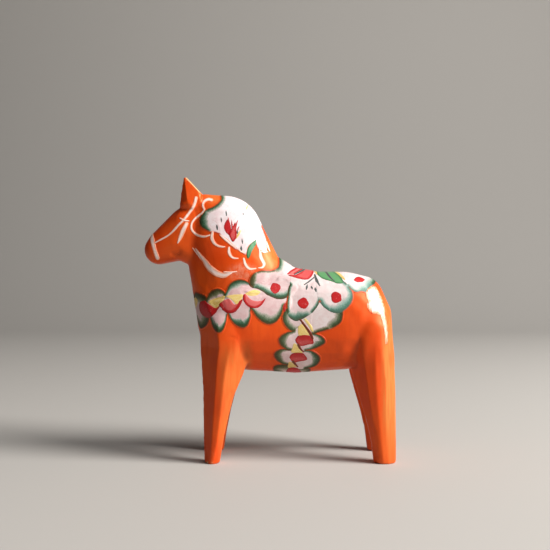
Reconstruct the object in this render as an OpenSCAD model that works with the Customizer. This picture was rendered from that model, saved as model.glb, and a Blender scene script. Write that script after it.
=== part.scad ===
// Dala horse: one hand-carved pine block with hand-painted kurbits ornament.
// The horse faces -X, stands on z = 0 and is symmetric about y = 0.

/* [Overall] */
// Height from the soles to the ear tips; everything scales with it
height = 130; // [70:5:250]

/* [Carved block] */
// Width across the shoulders
shoulder_w = 40; // [36:1:44]
// Width across the haunches
haunch_w = 40; // [36:1:44]
// Width of the barrel between them
barrel_w = 36; // [30:1:40]
// Width of the neck at its crest
crest_w = 22; // [18:1:26]
// Width of the head at the jaw
jaw_w = 18; // [14:1:22]
// Width of the muzzle
muzzle_w = 13; // [10:1:16]
// Distance between the middles of the two ears
ear_spacing = 11; // [9:0.5:14]
// Width of one ear at its root
ear_w = 7; // [5:0.5:9]

/* [Legs] */
// Gap between the two soles of a pair
sole_gap = 20.4; // [16:0.2:24]
// Height at which the gap between a pair of legs closes
crotch_z = 62; // [54:1:70]
// Bevel round each sole
sole_bevel = 0.8; // [0.4:0.1:1.5]

/* [Paint] */
// Thickness of one layer of paint
paint_t = 0.25; // [0.15:0.05:0.4]
// Width of the thin bridle lines
line_w = 1.3; // [0.8:0.1:2]

/* [Hidden] */
design_height = 130;
size_k = height / design_height;
// Exponent of the rounded, slightly square cross-sections
squareness = 2.6;
profile_step = 15;
round_fn = 32;
through_w = 60;

// Stations of the block: [x, z, radius seen from the side, half width]
barrel_front = [-9.7, 63.8, 23.3, shoulder_w / 2 - 0.5];
barrel_mid = [12.3, 62.8, 23.6, barrel_w / 2];
barrel_rear = [34.3, 63.5, 22.8, haunch_w / 2 - 0.5];
withers_front = [-4.6, 80.1, 16, shoulder_w / 2 - 7];
withers_mid = [3.4, 75, 16, shoulder_w / 2 - 5];
withers_rear = [8.9, 68.6, 20, barrel_w / 2 - 1];
loin = [16.9, 67.2, 20, barrel_w / 2 - 1];
shoulder = [-19.4, 60.5, 12.2, shoulder_w / 2 - 0.3];
shoulder_back = [-15.2, 56.5, 6.6, shoulder_w / 2 - 0.3];
haunch = [46.6, 60, 10.8, haunch_w / 2 - 0.3];
rump_top = [43.4, 74.2, 10.2, haunch_w / 2 - 6];
rump_back = [47, 66, 10.2, haunch_w / 2 - 3];
crest = [-20.7, 104.2, 17.7, crest_w / 2];
poll = [-29.9, 114.3, 8.3, jaw_w / 2 - 1];
throat = [-30.3, 95.4, 8, jaw_w / 2 - 0.5];
neck_base = [-12.2, 79, 21.6, shoulder_w / 2 - 4];
breast = [-21.2, 71.4, 12.8, shoulder_w / 2 - 5];
forehead = [-37.4, 107.1, 9.7, jaw_w / 2];
jaw = [-40.6, 100.8, 9, jaw_w / 2 - 0.5];
muzzle = [-51.1, 96.6, 6.8, muzzle_w / 2];
nose = [-52, 101, 3.6, muzzle_w / 2 - 1];

// Leg sections from the sole up: [z, front x, back x]
leg_top_z = 46.5;
front_leg = [
    [0, -28.7, -21.7], [10, -29.1, -20.2], [20, -29.3, -18.2], [30, -29.6, -15.6],
    [40, -30.3, -11.4], [leg_top_z, -30.8, -9.1]
];
hind_leg = [
    [0, 47.7, 57.8], [10, 46.5, 57.8], [17, 45, 57.8], [24, 43, 57.7],
    [32, 40.5, 57.5], [38, 38, 57.3], [leg_top_z, 36.2, 57.1]
];
leg_curve = 1.8;
// How far the outsides of the feet stand in from the widest part
foot_tuck = 0.8;

// Levels of an ear from its root to its tip: [x, z, half length, half width]
ear_root = [-36.2, 116, 4.9, ear_w / 2];
ear_middle = [-35.8, 122.4, 4.5, ear_w / 2 - 0.7];
ear_tip = [-38.6, 129, 0.5, 0.5];
ear_slab = 1;

// Routes of the thin bridle and mane strokes in side view: [x, z]
noseband_route = [[-54.7, 103.4], [-53.2, 98], [-51.7, 92.9]];
cheek_route = [
    [-52.7, 99.9], [-46.7, 102.9], [-42.7, 106.9], [-39.7, 110.9], [-36.7, 114.9],
    [-34.7, 117.9], [-33.7, 120.4]
];
cheek_dash_route = [[-38.2, 108.4], [-39.8, 105.2], [-41.7, 101.9]];
brow_route = [
    [-26.2, 119.2], [-28.5, 119], [-29.8, 117.5], [-29.3, 115], [-32.2, 112.4],
    [-35, 110.4], [-36, 108.2], [-35.7, 105.8], [-33.7, 103.6], [-30.7, 102.9], [-27, 103.2]
];
neck_curl_routes = [
    [[-26, 103.6], [-25.6, 101.5], [-24.5, 99.3], [-22.5, 98.2], [-20.5, 98]],
    [[-18.2, 97.5], [-18.2, 95.5], [-17, 93.6], [-15, 92.6], [-13, 92.5]],
    [[-11.6, 91.4], [-10.5, 89.6], [-9, 88.2], [-7, 87.5], [-5, 87.7]]
];
rein_route = [
    [-35.2, 97.4], [-32.7, 94.4], [-30, 91], [-27, 87.5], [-23.5, 85], [-20.5, 84.4],
    [-18, 85.3], [-15, 86.2]
];
withers_route = [[-3.9, 95.4], [-3.3, 93.5], [-2.2, 90.5], [-3, 88.7]];
tail_route = [[54, 66.5], [55, 61], [55, 54]];
girth_line_route = [[15, 64], [19, 59.3], [20.3, 55.6]];

// Outline of the white mane patch, drawn past the crest so that it wraps over
mane_outline = [
    [-21, 126], [-21.5, 119.5], [-24, 117.5], [-28, 115.3], [-31, 113], [-32, 110],
    [-31.5, 107.8], [-29.5, 105.8], [-26.5, 104.5], [-22.5, 104], [-19, 101.5],
    [-15.5, 98], [-12.5, 95.5], [-10.5, 91.8], [-8, 94], [-5.5, 97.5], [-4.5, 96.2],
    [-3, 97.5], [-0.5, 95.8], [4, 101], [-2, 114], [-12, 126]
];

// ---------- the carved form ----------

// Half the gap between the two legs of a pair at height z
function leg_inner(z) = sole_gap / 2 * (1 - pow(z / crotch_z, leg_curve));

// One side of the rounded cross-section at angle a, for radius r and half width w
function section_point(a, r, w) = [
    r * pow(cos(a), 2 / squareness),
    w * sign(sin(a)) * pow(abs(sin(a)), 2 / squareness)
];

// Rounded station with its axis across the horse, grown by g
module pebble(s, g) {
    translate([s[0], 0, s[1]])
        rotate([90, 0, 0])
            rotate_extrude($fn = round_fn)
                polygon([for (a = [-90 : profile_step : 90]) section_point(a, s[2] + g, s[3] + g)]);
}

module blend_of(stations, g) {
    hull()
        for (s = stations) pebble(s, g);
}

// Half the width over the outsides of a pair of legs at height z
function leg_outer(z, w) = w / 2 - foot_tuck * pow(1 - z / leg_top_z, 2);

// Eight-sided ring round a leg at section s: inset from the section, lifted, grown by g
function leg_ring(s, w, inset, lift, g) =
    let (
        y_in = leg_inner(s[0]),
        y_out = leg_outer(s[0], w),
        half_x = (s[2] - s[1]) / 2 - inset + g,
        half_y = (y_out - y_in) / 2 - inset + g
    )
    [for (a = [22.5 : 45 : 359]) [
        (s[1] + s[2]) / 2 + half_x * cos(a) / cos(22.5),
        (y_in + y_out) / 2 + half_y * sin(a) / cos(22.5),
        s[0] + lift
    ]];

// Solid skinned over a list of rings that all have eight points
module skinned(rings) {
    sides = 8;
    last = len(rings) - 1;
    polyhedron(
        points = [for (ring = rings) each ring],
        faces = [
            [for (i = [0 : sides - 1]) i],
            [for (i = [sides - 1 : -1 : 0]) last * sides + i],
            for (k = [0 : last - 1], i = [0 : sides - 1]) let (j = (i + 1) % sides)
                [k * sides + i, (k + 1) * sides + i, (k + 1) * sides + j, k * sides + j]
        ]
    );
}

// A leg of the given sections, blended at its top into one or more stations of the body
module leg(sections, w, tops, g) {
    first = sections[0];
    end = sections[len(sections) - 1];
    end_rings = [leg_ring(end, w, 0, 0, g), leg_ring(end, w, 1, 1, g)];
    skinned([
        leg_ring(first, w, sole_bevel, 0, g),
        leg_ring(first, w, 0, sole_bevel, g),
        for (i = [1 : len(sections) - 2]) leg_ring(sections[i], w, 0, 0, g),
        each end_rings
    ]);
    hull() {
        skinned(end_rings);
        for (top = tops) pebble(top, g);
    }
}

// Eight-sided slab at one level of the ear, grown by g
module ear_level(s, g) {
    translate([s[0], 0, s[1]])
        scale([s[2] + g, s[3] + g, ear_slab + g])
            cylinder(h = 1, r = 1, $fn = 8);
}

module ear(g) {
    hull() {
        ear_level(ear_root, g);
        ear_level(ear_middle, g);
        ear_level(ear_tip, g);
    }
}

module both_sides() {
    children();
    mirror([0, 1, 0]) children();
}

// The whole carved shape, with every surface moved outward by g
module form(g) {
    blend_of([barrel_front, barrel_mid], g);
    blend_of([barrel_mid, barrel_rear], g);
    blend_of([barrel_rear, rump_top, rump_back], g);
    blend_of([rump_back, haunch], g);
    blend_of([withers_front, withers_mid], g);
    blend_of([withers_rear, loin], g);
    blend_of([crest, neck_base], g);
    blend_of([crest, poll, throat], g);
    blend_of([throat, breast, neck_base], g);
    blend_of([poll, forehead, throat], g);
    blend_of([forehead, jaw, throat], g);
    blend_of([forehead, jaw, muzzle, nose], g);
    blend_of([breast, barrel_front], g);
    blend_of([breast, shoulder], g);
    both_sides() {
        leg(front_leg, shoulder_w, [shoulder, shoulder_back], g);
        leg(hind_leg, haunch_w, [haunch], g);
        translate([0, ear_spacing / 2, 0]) ear(g);
    }
}

// ---------- laying paint on the form ----------

// A flat outline in side view carried right through the horse
module across() {
    rotate([90, 0, 0])
        linear_extrude(height = through_w, center = true)
            children();
}

// The part of one paint layer that lies inside an outline; layer 0 lies on the block
module film(layer = 0) {
    scale(size_k)
        intersection() {
            across() children();
            difference() {
                form((layer + 1) * paint_t);
                form(layer * paint_t);
            }
        }
}

// Brush stroke along a route: thin at both ends, w wide in the middle
module stroke(route, w, tip = 0.45) {
    last = len(route) - 1;
    for (i = [0 : last - 1])
        hull()
            for (j = [i, i + 1])
                translate(route[j])
                    circle(d = w * (tip + (1 - tip) * sin(180 * j / last)), $fn = 12);
}

module oval(x, z, rx, rz, turn = 0) {
    translate([x, z]) rotate(turn) scale([rx, rz]) circle(r = 1, $fn = max(rx, rz) > 3 ? 24 : 12);
}

// Short upright dab of half width rx and half height rz, its ends shifted by lean
module seed(at, rx, rz, lean) {
    translate(at) polygon([[-lean, -rz], [rx, 0], [lean, rz], [-rx, 0]]);
}

// ---------- outlines ----------

module mane_area() {
    offset(r = 0.8) offset(delta = -0.8) polygon(mane_outline);
}

module chest_upper_area() {
    oval(-31, 72, 4.6, 4.8);
    oval(-23, 73.6, 4.7, 4.8);
    oval(-13.6, 76.8, 6.4, 6.6);
    polygon([[-36, 71.5], [-36, 75], [-30, 77], [-8, 80], [-3, 76], [-8, 73.5], [-22, 70.5]]);
}

module chest_lower_area() {
    oval(-30.5, 65.5, 4.6, 5.2);
    oval(-22.2, 66, 4.2, 6.8);
    oval(-12.4, 67, 5.3, 5.8);
    oval(-0.2, 71, 7.8, 7.9);
    polygon([[-36, 66], [-36, 71.5], [-22, 72], [-8, 75], [0, 76], [0, 68], [-20, 66]]);
}

module saddle_area() {
    hull() {
        oval(-2.2, 81.8, 6.2, 6);
        oval(4.4, 80.8, 6.6, 6.8);
        oval(12, 88, 6, 6);
    }
    hull() {
        oval(14.3, 70.2, 5.6, 5.8);
        oval(17, 77.5, 7.6, 7);
    }
    hull() {
        oval(31.4, 75, 7.2, 7.2);
        oval(30, 80, 7, 6);
    }
    polygon([[5, 79], [37, 79], [37, 92], [6, 96]]);
}

module rump_area() {
    oval(42.2, 82.2, 8, 4.3, -14);
    oval(42, 86, 7, 4, -14);
}

module skirt_area() {
    oval(12.6, 63.6, 6, 6);
    hull() {
        oval(21, 63, 5, 4.8);
        oval(28.3, 65.2, 5.6, 5.4);
    }
}

module girth_area() {
    oval(10.8, 55.4, 6, 4);
    oval(19.8, 55, 6, 3.8);
    oval(9.2, 48, 6.4, 3.8);
    oval(17, 47.2, 6.4, 4);
    oval(8.2, 41.5, 5.4, 2.9);
    oval(14.6, 41.5, 5, 2.9);
}

// Lower part of an oval, cut along a sloping chord
module crescent(x, z, rx, rz, slope = 0) {
    difference() {
        oval(x, z, rx, rz);
        translate([x, z]) rotate(slope) translate([-2 * rx, 0]) square([4 * rx, 2 * rz]);
    }
}

// ---------- pieces: the block ----------

module carved_body() {
    color("orangered") scale(size_k) form(0);
}

// ---------- pieces: bridle and neck strokes ----------

module noseband_line() {
    color("antiquewhite") film() stroke(noseband_route, line_w + 0.3, 0.8);
}

module cheek_line() {
    color("antiquewhite") film() stroke(cheek_route, line_w);
}

module cheek_dash() {
    color("antiquewhite") film() stroke(cheek_dash_route, line_w + 0.4, 0.6);
}

module brow_curl() {
    color("antiquewhite")
        film()
            difference() {
                stroke(brow_route, line_w);
                mane_area();
                offset(delta = 0.2) stroke(cheek_route, line_w);
            }
}

module neck_curls() {
    color("antiquewhite")
        film()
            difference() {
                for (route = neck_curl_routes) stroke(route, line_w + 0.2);
                mane_area();
                stroke(brow_route, line_w);
            }
}

module rein_stroke() {
    color("antiquewhite") film() stroke(rein_route, 2.6, 0.3);
}

module withers_curl() {
    color("antiquewhite")
        film()
            difference() {
                stroke(withers_route, line_w + 0.2);
                mane_area();
            }
}

// ---------- pieces: mane ----------

module mane_patch() {
    color("ghostwhite") film() mane_area();
}

module mane_leaf_red() {
    color("crimson")
        film(1) {
            oval(-18.2, 105.8, 1.6, 3.8, 12);
            oval(-16.2, 104.2, 1.4, 3.6, 8);
        }
}

module mane_leaf_green() {
    color("seagreen")
        film(1)
            intersection() {
                oval(-7.6, 97.2, 1.5, 4.4, -24);
                offset(delta = -0.3) mane_area();
            }
}

module mane_seed_marks() {
    color("dimgray")
        film(1)
            for (at = [[-19.3, 113.4], [-21.5, 110.2], [-23.4, 106.4], [-12, 100.8], [-12.6, 97.2]])
                seed(at, 0.5, 1.2, 0);
}

// ---------- pieces: chest band ----------

module chest_scallops_upper() {
    color("gainsboro")
        film()
            difference() {
                chest_upper_area();
                saddle_area();
            }
}

module chest_scallops_lower() {
    color("gainsboro")
        film()
            difference() {
                chest_lower_area();
                chest_upper_area();
                saddle_area();
                skirt_area();
            }
}

module chest_yellow_wedges() {
    color("khaki")
        film(1)
            difference() {
                union() {
                    polygon([[-27.4, 72.6], [-20.4, 75.2], [-24, 69.8]]);
                    polygon([[-20, 75.4], [-11.4, 75.8], [-15, 71.2]]);
                    polygon([[-10.4, 77], [-5, 76.2], [-8.6, 74.6]]);
                }
                chest_red_outlines();
            }
}

module chest_red_outlines() {
    crescent(-27.2, 70.6, 4.6, 4.6, 6);
    crescent(-16.8, 73.2, 5, 5.4, 6);
    crescent(-6.4, 74.8, 5, 4.6, 2);
}

module chest_red_scallops() {
    color("crimson") film(1) chest_red_outlines();
}

// ---------- pieces: saddle and rump ----------

module saddle_petals() {
    color("whitesmoke") film() saddle_area();
}

module saddle_red_dots() {
    color("crimson")
        film(1) {
            oval(3.2, 79.2, 2.3, 2.4);
            oval(15.8, 71.8, 2.5, 2.5);
            oval(31.2, 74.4, 2.5, 2.5);
        }
}

module saddle_leaf_red() {
    color("indianred")
        film(1)
            polygon([[8.4, 85], [12.4, 83.4], [17, 82.3], [19.4, 84], [20.6, 92], [11, 92]]);
}

module saddle_leaf_green() {
    color("mediumseagreen")
        film(1)
            polygon([[22.2, 92], [22.6, 84], [26.4, 81.9], [30.6, 81], [33.8, 80.8], [32, 84], [29, 92]]);
}

module saddle_dashes() {
    color("dimgray")
        film(1) {
            stroke([[21.4, 83.4], [22.4, 81.6], [23.4, 79.7]], 1.2, 0.5);
            stroke([[20.6, 83], [18.8, 81.8], [17, 80.4]], 0.6, 0.5);
            for (at = [[17.5, 78.8], [19.8, 78.7], [21.5, 77.7]]) seed(at, 0.5, 1, 0.3);
        }
}

module rump_petal() {
    color("whitesmoke")
        film()
            difference() {
                rump_area();
                saddle_area();
            }
}

module rump_dot() {
    color("crimson") film(1) oval(41.6, 82.5, 2.5, 1.4, -8);
}

// ---------- pieces: skirt and girth ----------

module skirt_petals() {
    color("gainsboro")
        film()
            difference() {
                skirt_area();
                saddle_area();
            }
}

module girth_petals() {
    color("gainsboro")
        film()
            difference() {
                girth_area();
                skirt_area();
            }
}

module girth_red_outlines() {
    oval(16.4, 54.5, 4.2, 2.1);
    oval(13.4, 47.4, 4.1, 2);
    oval(11.2, 41.4, 3.4, 1.3);
}

module girth_line_outline() {
    difference() {
        stroke(girth_line_route, 0.9, 0.7);
        girth_red_outlines();
    }
}

module girth_red_crescents() {
    color("firebrick") film(1) girth_red_outlines();
}

module girth_yellow_wedges() {
    color("khaki")
        film(1)
            difference() {
                union() {
                    polygon([[13.8, 57.4], [15.2, 63], [19.2, 57.4]]);
                    polygon([[10.5, 50.2], [12, 53.4], [15.5, 50.2]]);
                    polygon([[8.8, 43.4], [9.7, 46.2], [13, 43.4]]);
                }
                girth_red_outlines();
                girth_line_outline();
            }
}

module girth_line() {
    color("maroon") film(1) girth_line_outline();
}

// ---------- pieces: tail ----------

module tail_stroke() {
    color("whitesmoke")
        film()
            difference() {
                union() {
                    polygon([[46.2, 78.4], [49, 79.4], [52.4, 73.4], [53.4, 68.8], [50, 67.2], [47, 69.6], [46, 74]]);
                    stroke(tail_route, 1.9, 0.5);
                }
                rump_area();
            }
}

carved_body();
noseband_line();
cheek_line();
cheek_dash();
brow_curl();
neck_curls();
rein_stroke();
withers_curl();
mane_patch();
mane_leaf_red();
mane_leaf_green();
mane_seed_marks();
chest_scallops_upper();
chest_scallops_lower();
chest_yellow_wedges();
chest_red_scallops();
saddle_petals();
saddle_red_dots();
saddle_leaf_red();
saddle_leaf_green();
saddle_dashes();
rump_petal();
rump_dot();
skirt_petals();
girth_petals();
girth_red_crescents();
girth_yellow_wedges();
girth_line();
tail_stroke();
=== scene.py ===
import math

import bmesh
import bpy
import numpy as np
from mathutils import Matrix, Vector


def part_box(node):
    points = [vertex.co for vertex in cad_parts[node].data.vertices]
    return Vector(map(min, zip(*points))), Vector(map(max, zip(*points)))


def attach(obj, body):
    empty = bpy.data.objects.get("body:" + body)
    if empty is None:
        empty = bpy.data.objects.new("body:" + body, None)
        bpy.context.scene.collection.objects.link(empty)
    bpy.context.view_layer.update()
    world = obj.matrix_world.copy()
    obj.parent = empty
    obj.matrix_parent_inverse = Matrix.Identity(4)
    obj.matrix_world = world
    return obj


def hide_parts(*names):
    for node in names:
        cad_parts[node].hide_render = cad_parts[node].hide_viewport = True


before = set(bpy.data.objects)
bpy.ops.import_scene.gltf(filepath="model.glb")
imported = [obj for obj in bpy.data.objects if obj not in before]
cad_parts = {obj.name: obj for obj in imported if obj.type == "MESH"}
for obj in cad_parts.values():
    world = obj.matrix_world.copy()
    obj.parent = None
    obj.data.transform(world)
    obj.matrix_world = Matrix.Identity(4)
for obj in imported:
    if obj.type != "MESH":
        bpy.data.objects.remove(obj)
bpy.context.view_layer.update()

# Places, outlines and routes are in millimetres, and those of the ornament are [x, z] in the
# horse's side view: the horse faces -X and stands on z = 0. The camera looks along +Y at the
# horse's left side.
MM = 0.001
horse_low, horse_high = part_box("carved_body")
HEIGHT = horse_high.z
MIDDLE_X = (horse_high.x + horse_low.x) / 2

# The block's mesh
CELL = 0.62                 # size of one mesh cell on the block
SMOOTHING_ROUNDS = 220      # rounds that take the CAD form's ridges off the round forms
SOFT_ROUNDS = 40            # further rounds where two forms run softly into each other
LAST_ROUNDS = 2             # half-strength rounds after all knife cuts
KNIFE_SEED = 7
KNIFE_CUTS = 260            # small cuts all over the block, with the ranges that they lie in:
KNIFE_DEPTH = (0.03, 0.1)
KNIFE_REACH = (4, 8)
KNIFE_STRETCH = (1.3, 2.4)  # length of a cut over its width
KNIFE_TOP_Z = 114           # no small cuts above this, on the ears
EDGE_WEAR_AND_SHADE_ROUNDS = 6             # how far the wear of edges and the painted shade of hollows are spread, in rounds

# The paint's mesh
CELL_SPLIT = 2              # each cell of the block under paint is split this many times
SINK = 0.06                 # how far the underside of a film goes into what it lies on
COAT = 0.075                # thickness of one brushed coat
LEVEL = 0.04                # how much higher a stroke lies on each stroke that it crosses
FIRST_LIFT = 0.02           # height of a film's very edge over the block
EDGE_ROUND = 0.6            # width over which a coat rises from its edge
BRUSH_RELIEF = 0.12         # how uneven a coat's thickness is, as a share of it
BLEED = 0.35                # how far petals spread past their drawn outline, thinning out
STROKE_SPREAD = 0.3         # how much a stroke spreads past its drawn width
FAR_SIDE_DRIFT = 0.55       # how far the far side's strokes stray from the near side's
CHEST_CORNER = 10.5         # how far from the middle the chest turns from its front to its side
CURVE_STEPS = 5             # steps of a curve between two of its hand-given points
FAR = 9.0                   # stands for a distance too great to matter, in millimetres


# ---------- numbers on points ----------

def smoothstep(value, low, high):
    t = np.clip((value - low) / (high - low), 0, 1)
    return t * t * (3 - 2 * t)


def spline(points, closed):
    """A smooth curve through the points, as many closely spaced points."""
    p = np.array(points, float)
    if closed:
        p = np.vstack([p[-1], p, p[0], p[1]])
    else:
        p = np.vstack([2 * p[0] - p[1], p, 2 * p[-1] - p[-2]])
    t = np.linspace(0, 1, CURVE_STEPS, endpoint=False)[:, None]
    parts = []
    for a, b, c, d in zip(p, p[1:], p[2:], p[3:]):
        parts.append(0.5 * (2 * b + (c - a) * t + (2 * a - 5 * b + 4 * c - d) * t**2
                            + (3 * b - a - 3 * c + d) * t**3))
    if not closed:
        parts.append(p[-2:-1])
    return np.vstack(parts)


def nearest_on_line(where, line):
    """Distance to a polyline, how far along it that is, and on which side (+ left, - right)."""
    best = np.full(len(where), np.inf)
    along = np.zeros(len(where))
    side = np.ones(len(where))
    step = np.linalg.norm(np.diff(line, axis=0), axis=1)
    run = np.concatenate([[0], np.cumsum(step)])
    for k in range(len(line) - 1):
        direction = line[k + 1] - line[k]
        rel = where - line[k]
        t = np.clip(rel @ direction / max(direction @ direction, 1e-12), 0, 1)
        off = rel - t[:, None] * direction
        distance = np.hypot(off[:, 0], off[:, 1])
        closer = distance < best
        best = np.where(closer, distance, best)
        along = np.where(closer, run[k] + t * step[k], along)
        turn = direction[0] * rel[:, 1] - direction[1] * rel[:, 0]
        side = np.where(closer, np.sign(turn), side)
    return best, along, side


def inside(where, loop):
    """Whether each point lies within a closed outline."""
    x, z = where[:, 0], where[:, 1]
    within = np.zeros(len(where), bool)
    for (x1, z1), (x2, z2) in zip(loop, np.roll(loop, -1, axis=0)):
        if z1 == z2:
            continue
        crosses = (z1 > z) != (z2 > z)
        within ^= crosses & (x < (x2 - x1) * (z - z1) / (z2 - z1) + x1)
    return within


def ripple(u, v, seed):
    """Uneven brush marks between -1 and 1: slow along u, fast across v."""
    rng = np.random.default_rng(seed)
    total = np.zeros(len(u))
    for pitch in (2.3, 1.4, 0.85):
        phase, bend = rng.uniform(0, 2 * math.pi, 2)
        total += np.sin(2 * math.pi * v / pitch + phase + 0.8 * np.sin(0.55 * u / pitch + bend))
    return total / 3


# ---------- the block's mesh ----------

def read_places(mesh):
    """Vertex places in millimetres."""
    co = np.zeros(len(mesh.vertices) * 3)
    mesh.vertices.foreach_get("co", co)
    return co.reshape(-1, 3) / MM


def write_places(mesh, co):
    mesh.vertices.foreach_set("co", (co * MM).astype(np.float32).ravel())
    mesh.update()
    mesh.shade_smooth()


def corners_of(mesh):
    """The four corners of each face."""
    corners = np.zeros(len(mesh.loops), np.int64)
    mesh.loops.foreach_get("vertex_index", corners)
    return corners.reshape(-1, 4)


def normals_of(co, quads):
    across = np.cross(co[quads[:, 2]] - co[quads[:, 0]], co[quads[:, 3]] - co[quads[:, 1]])
    total = np.zeros_like(co)
    for corner in range(4):
        for axis in range(3):
            total[:, axis] += np.bincount(quads[:, corner], across[:, axis], len(co))
    return total / np.maximum(np.linalg.norm(total, axis=1), 1e-12)[:, None]


def quad_edges(quads):
    pairs = np.vstack([quads[:, [i, (i + 1) % 4]] for i in range(4)])
    return np.unique(np.sort(pairs, axis=1), axis=0)


def neighbour_mean(values, edges):
    a, b = edges[:, 0], edges[:, 1]
    size = len(values)
    count = np.bincount(a, minlength=size) + np.bincount(b, minlength=size)
    columns = [np.bincount(a, column[b], size) + np.bincount(b, column[a], size)
               for column in values.reshape(size, -1).T]
    return (np.array(columns) / count).T.reshape(values.shape)


def relax(co, edges, weight, rounds):
    """Smooths without shrinking: each round pulls in a little, then pushes back out."""
    for _ in range(rounds):
        for pull in (0.6, -0.61):
            co = co + pull * weight[:, None] * (neighbour_mean(co, edges) - co)
    return co


def softness(co):
    """How much of the modelling is smoothed away: all on the round forms, little at knife edges."""
    x, z = co[:, 0], co[:, 2]
    legs = 1 - smoothstep(z, 16, 36)
    ears = smoothstep(z, 117, 119) * (1 - smoothstep(x, -33, -31))
    throat = 0.7 * (1 - smoothstep(np.hypot(x + 38, z - 92), 2, 6))
    return 1 - 0.94 * np.maximum(np.maximum(legs, ears), throat)


def knife_cut(co, turned, at, facing, depth, reach, along, stretch):
    """Planes off what stands above a plane just under the surface at one spot. turned says how
    much of the cut each point takes, by the way its surface is turned. What stands much higher
    belongs to another form, and is left."""
    rel = co - at
    side = np.cross(facing, along)
    side /= max(np.linalg.norm(side), 1e-9)
    length = np.cross(side, facing)
    spread = np.hypot(rel @ side, (rel @ length) / stretch) / reach
    above = rel @ facing + depth
    limit = 3 * depth + 0.15
    near = (spread < 1) & (above > 0) & (above < limit)
    cut = above[near] * (1 - smoothstep(spread[near], 0.7, 1)) * turned[near]
    cut *= 1 - smoothstep(above[near], 0.6 * limit, limit)
    co[near] -= cut[:, None] * facing


def grain_direction(place):
    """The way the knife ran: up the legs, along the head, up the neck, along the back and belly."""
    x, _, z = place
    if z < 55:
        return np.array([0.0, 0.0, 1.0])
    if x < -38:
        return np.array([0.8, 0.0, 0.6])
    if x < -8 and z > 80:
        return np.array([-0.5, 0.0, 0.85])
    return np.array([1.0, 0.0, 0.0])


# Where forms run softly into each other, at the legs and at the forehead: x, z and reach of the
# smoothing, and how far out from the middle it goes
SOFT_CORNERS = [(-8.5, 50, 9, 30), (-31, 60, 8, 30), (37, 50, 8, 30), (-40, 117, 6.5, 3.6)]

# Cuts that show clearly: [x, y, z] of the spot, [x, y, z] it faces, depth and reach
PLAIN_CUTS = [
    ([-43.6, -6.5, 113.3], [-0.55, -0.55, 0.6], 0.25, 1.6),
    ([-42.6, -8, 94.7], [0, -0.8, -0.6], 0.25, 2.0),
]
PLAIN_CUT_STRETCH = 1.6

# The knife-cut faces of a leg of the -Y side: by height, z and the x of each of its upright
# ridges; for each face between them its turn in degrees from -Y to +X, and the two heights
# between which it fades out; and the x between which all points belong to the leg
FRONT_LEG_RIDGES = [
    (0, -26.2, -25.1, -19.6), (3, -25.9, -24.3, -19.4), (10, -25.3, -22.9, -18.6),
    (21, -24.6, -21.4, -16.6), (36, -23.5, -19.8, -11.6), (44, -23.1, -18.8, -9.4),
    (52, -22.8, -17.2, -8.0), (60, -23.6, -17.0, -8.0), (70, -25.4, -17.0, -8.0),
    (84, -27.4, -17.0, -8.0)]
FRONT_LEG_FACES = [(-52, 62, 84), (-10, 41, 57), (30, 40, 56), (64, 30, 46)]
FRONT_LEG_SPAN = (-40, -7)
HIND_LEG_RIDGES = [
    (0, 49.6, 51.6, 54.2, 57.0), (7, 49.0, 50.9, 53.8, 56.9), (11, 48.3, 50.4, 53.4, 56.8),
    (20, 46.8, 49.6, 53.0, 56.7), (29, 45.3, 48.8, 52.8, 56.6), (41.5, 43.6, 48.2, 52.6, 56.5),
    (52, 42.6, 48.0, 52.6, 56.5)]
HIND_LEG_FACES = [(-60, 41, 57), (-16, 41, 57), (10, 41, 57), (36, 41, 57), (62, 41, 57)]
HIND_LEG_SPAN = (34, 70)
FACE_DEPTH = 0.2            # how far the outermost ridge is cut in
LEG_HALF = 9                # from the outermost ridge to the line that all faces are drawn towards
LEG_INSIDE = 6              # nothing nearer to the horse's middle plane is a leg's outside
LEG_FADE = 3                # the cut fades over this at the front and back limits of a leg


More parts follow.
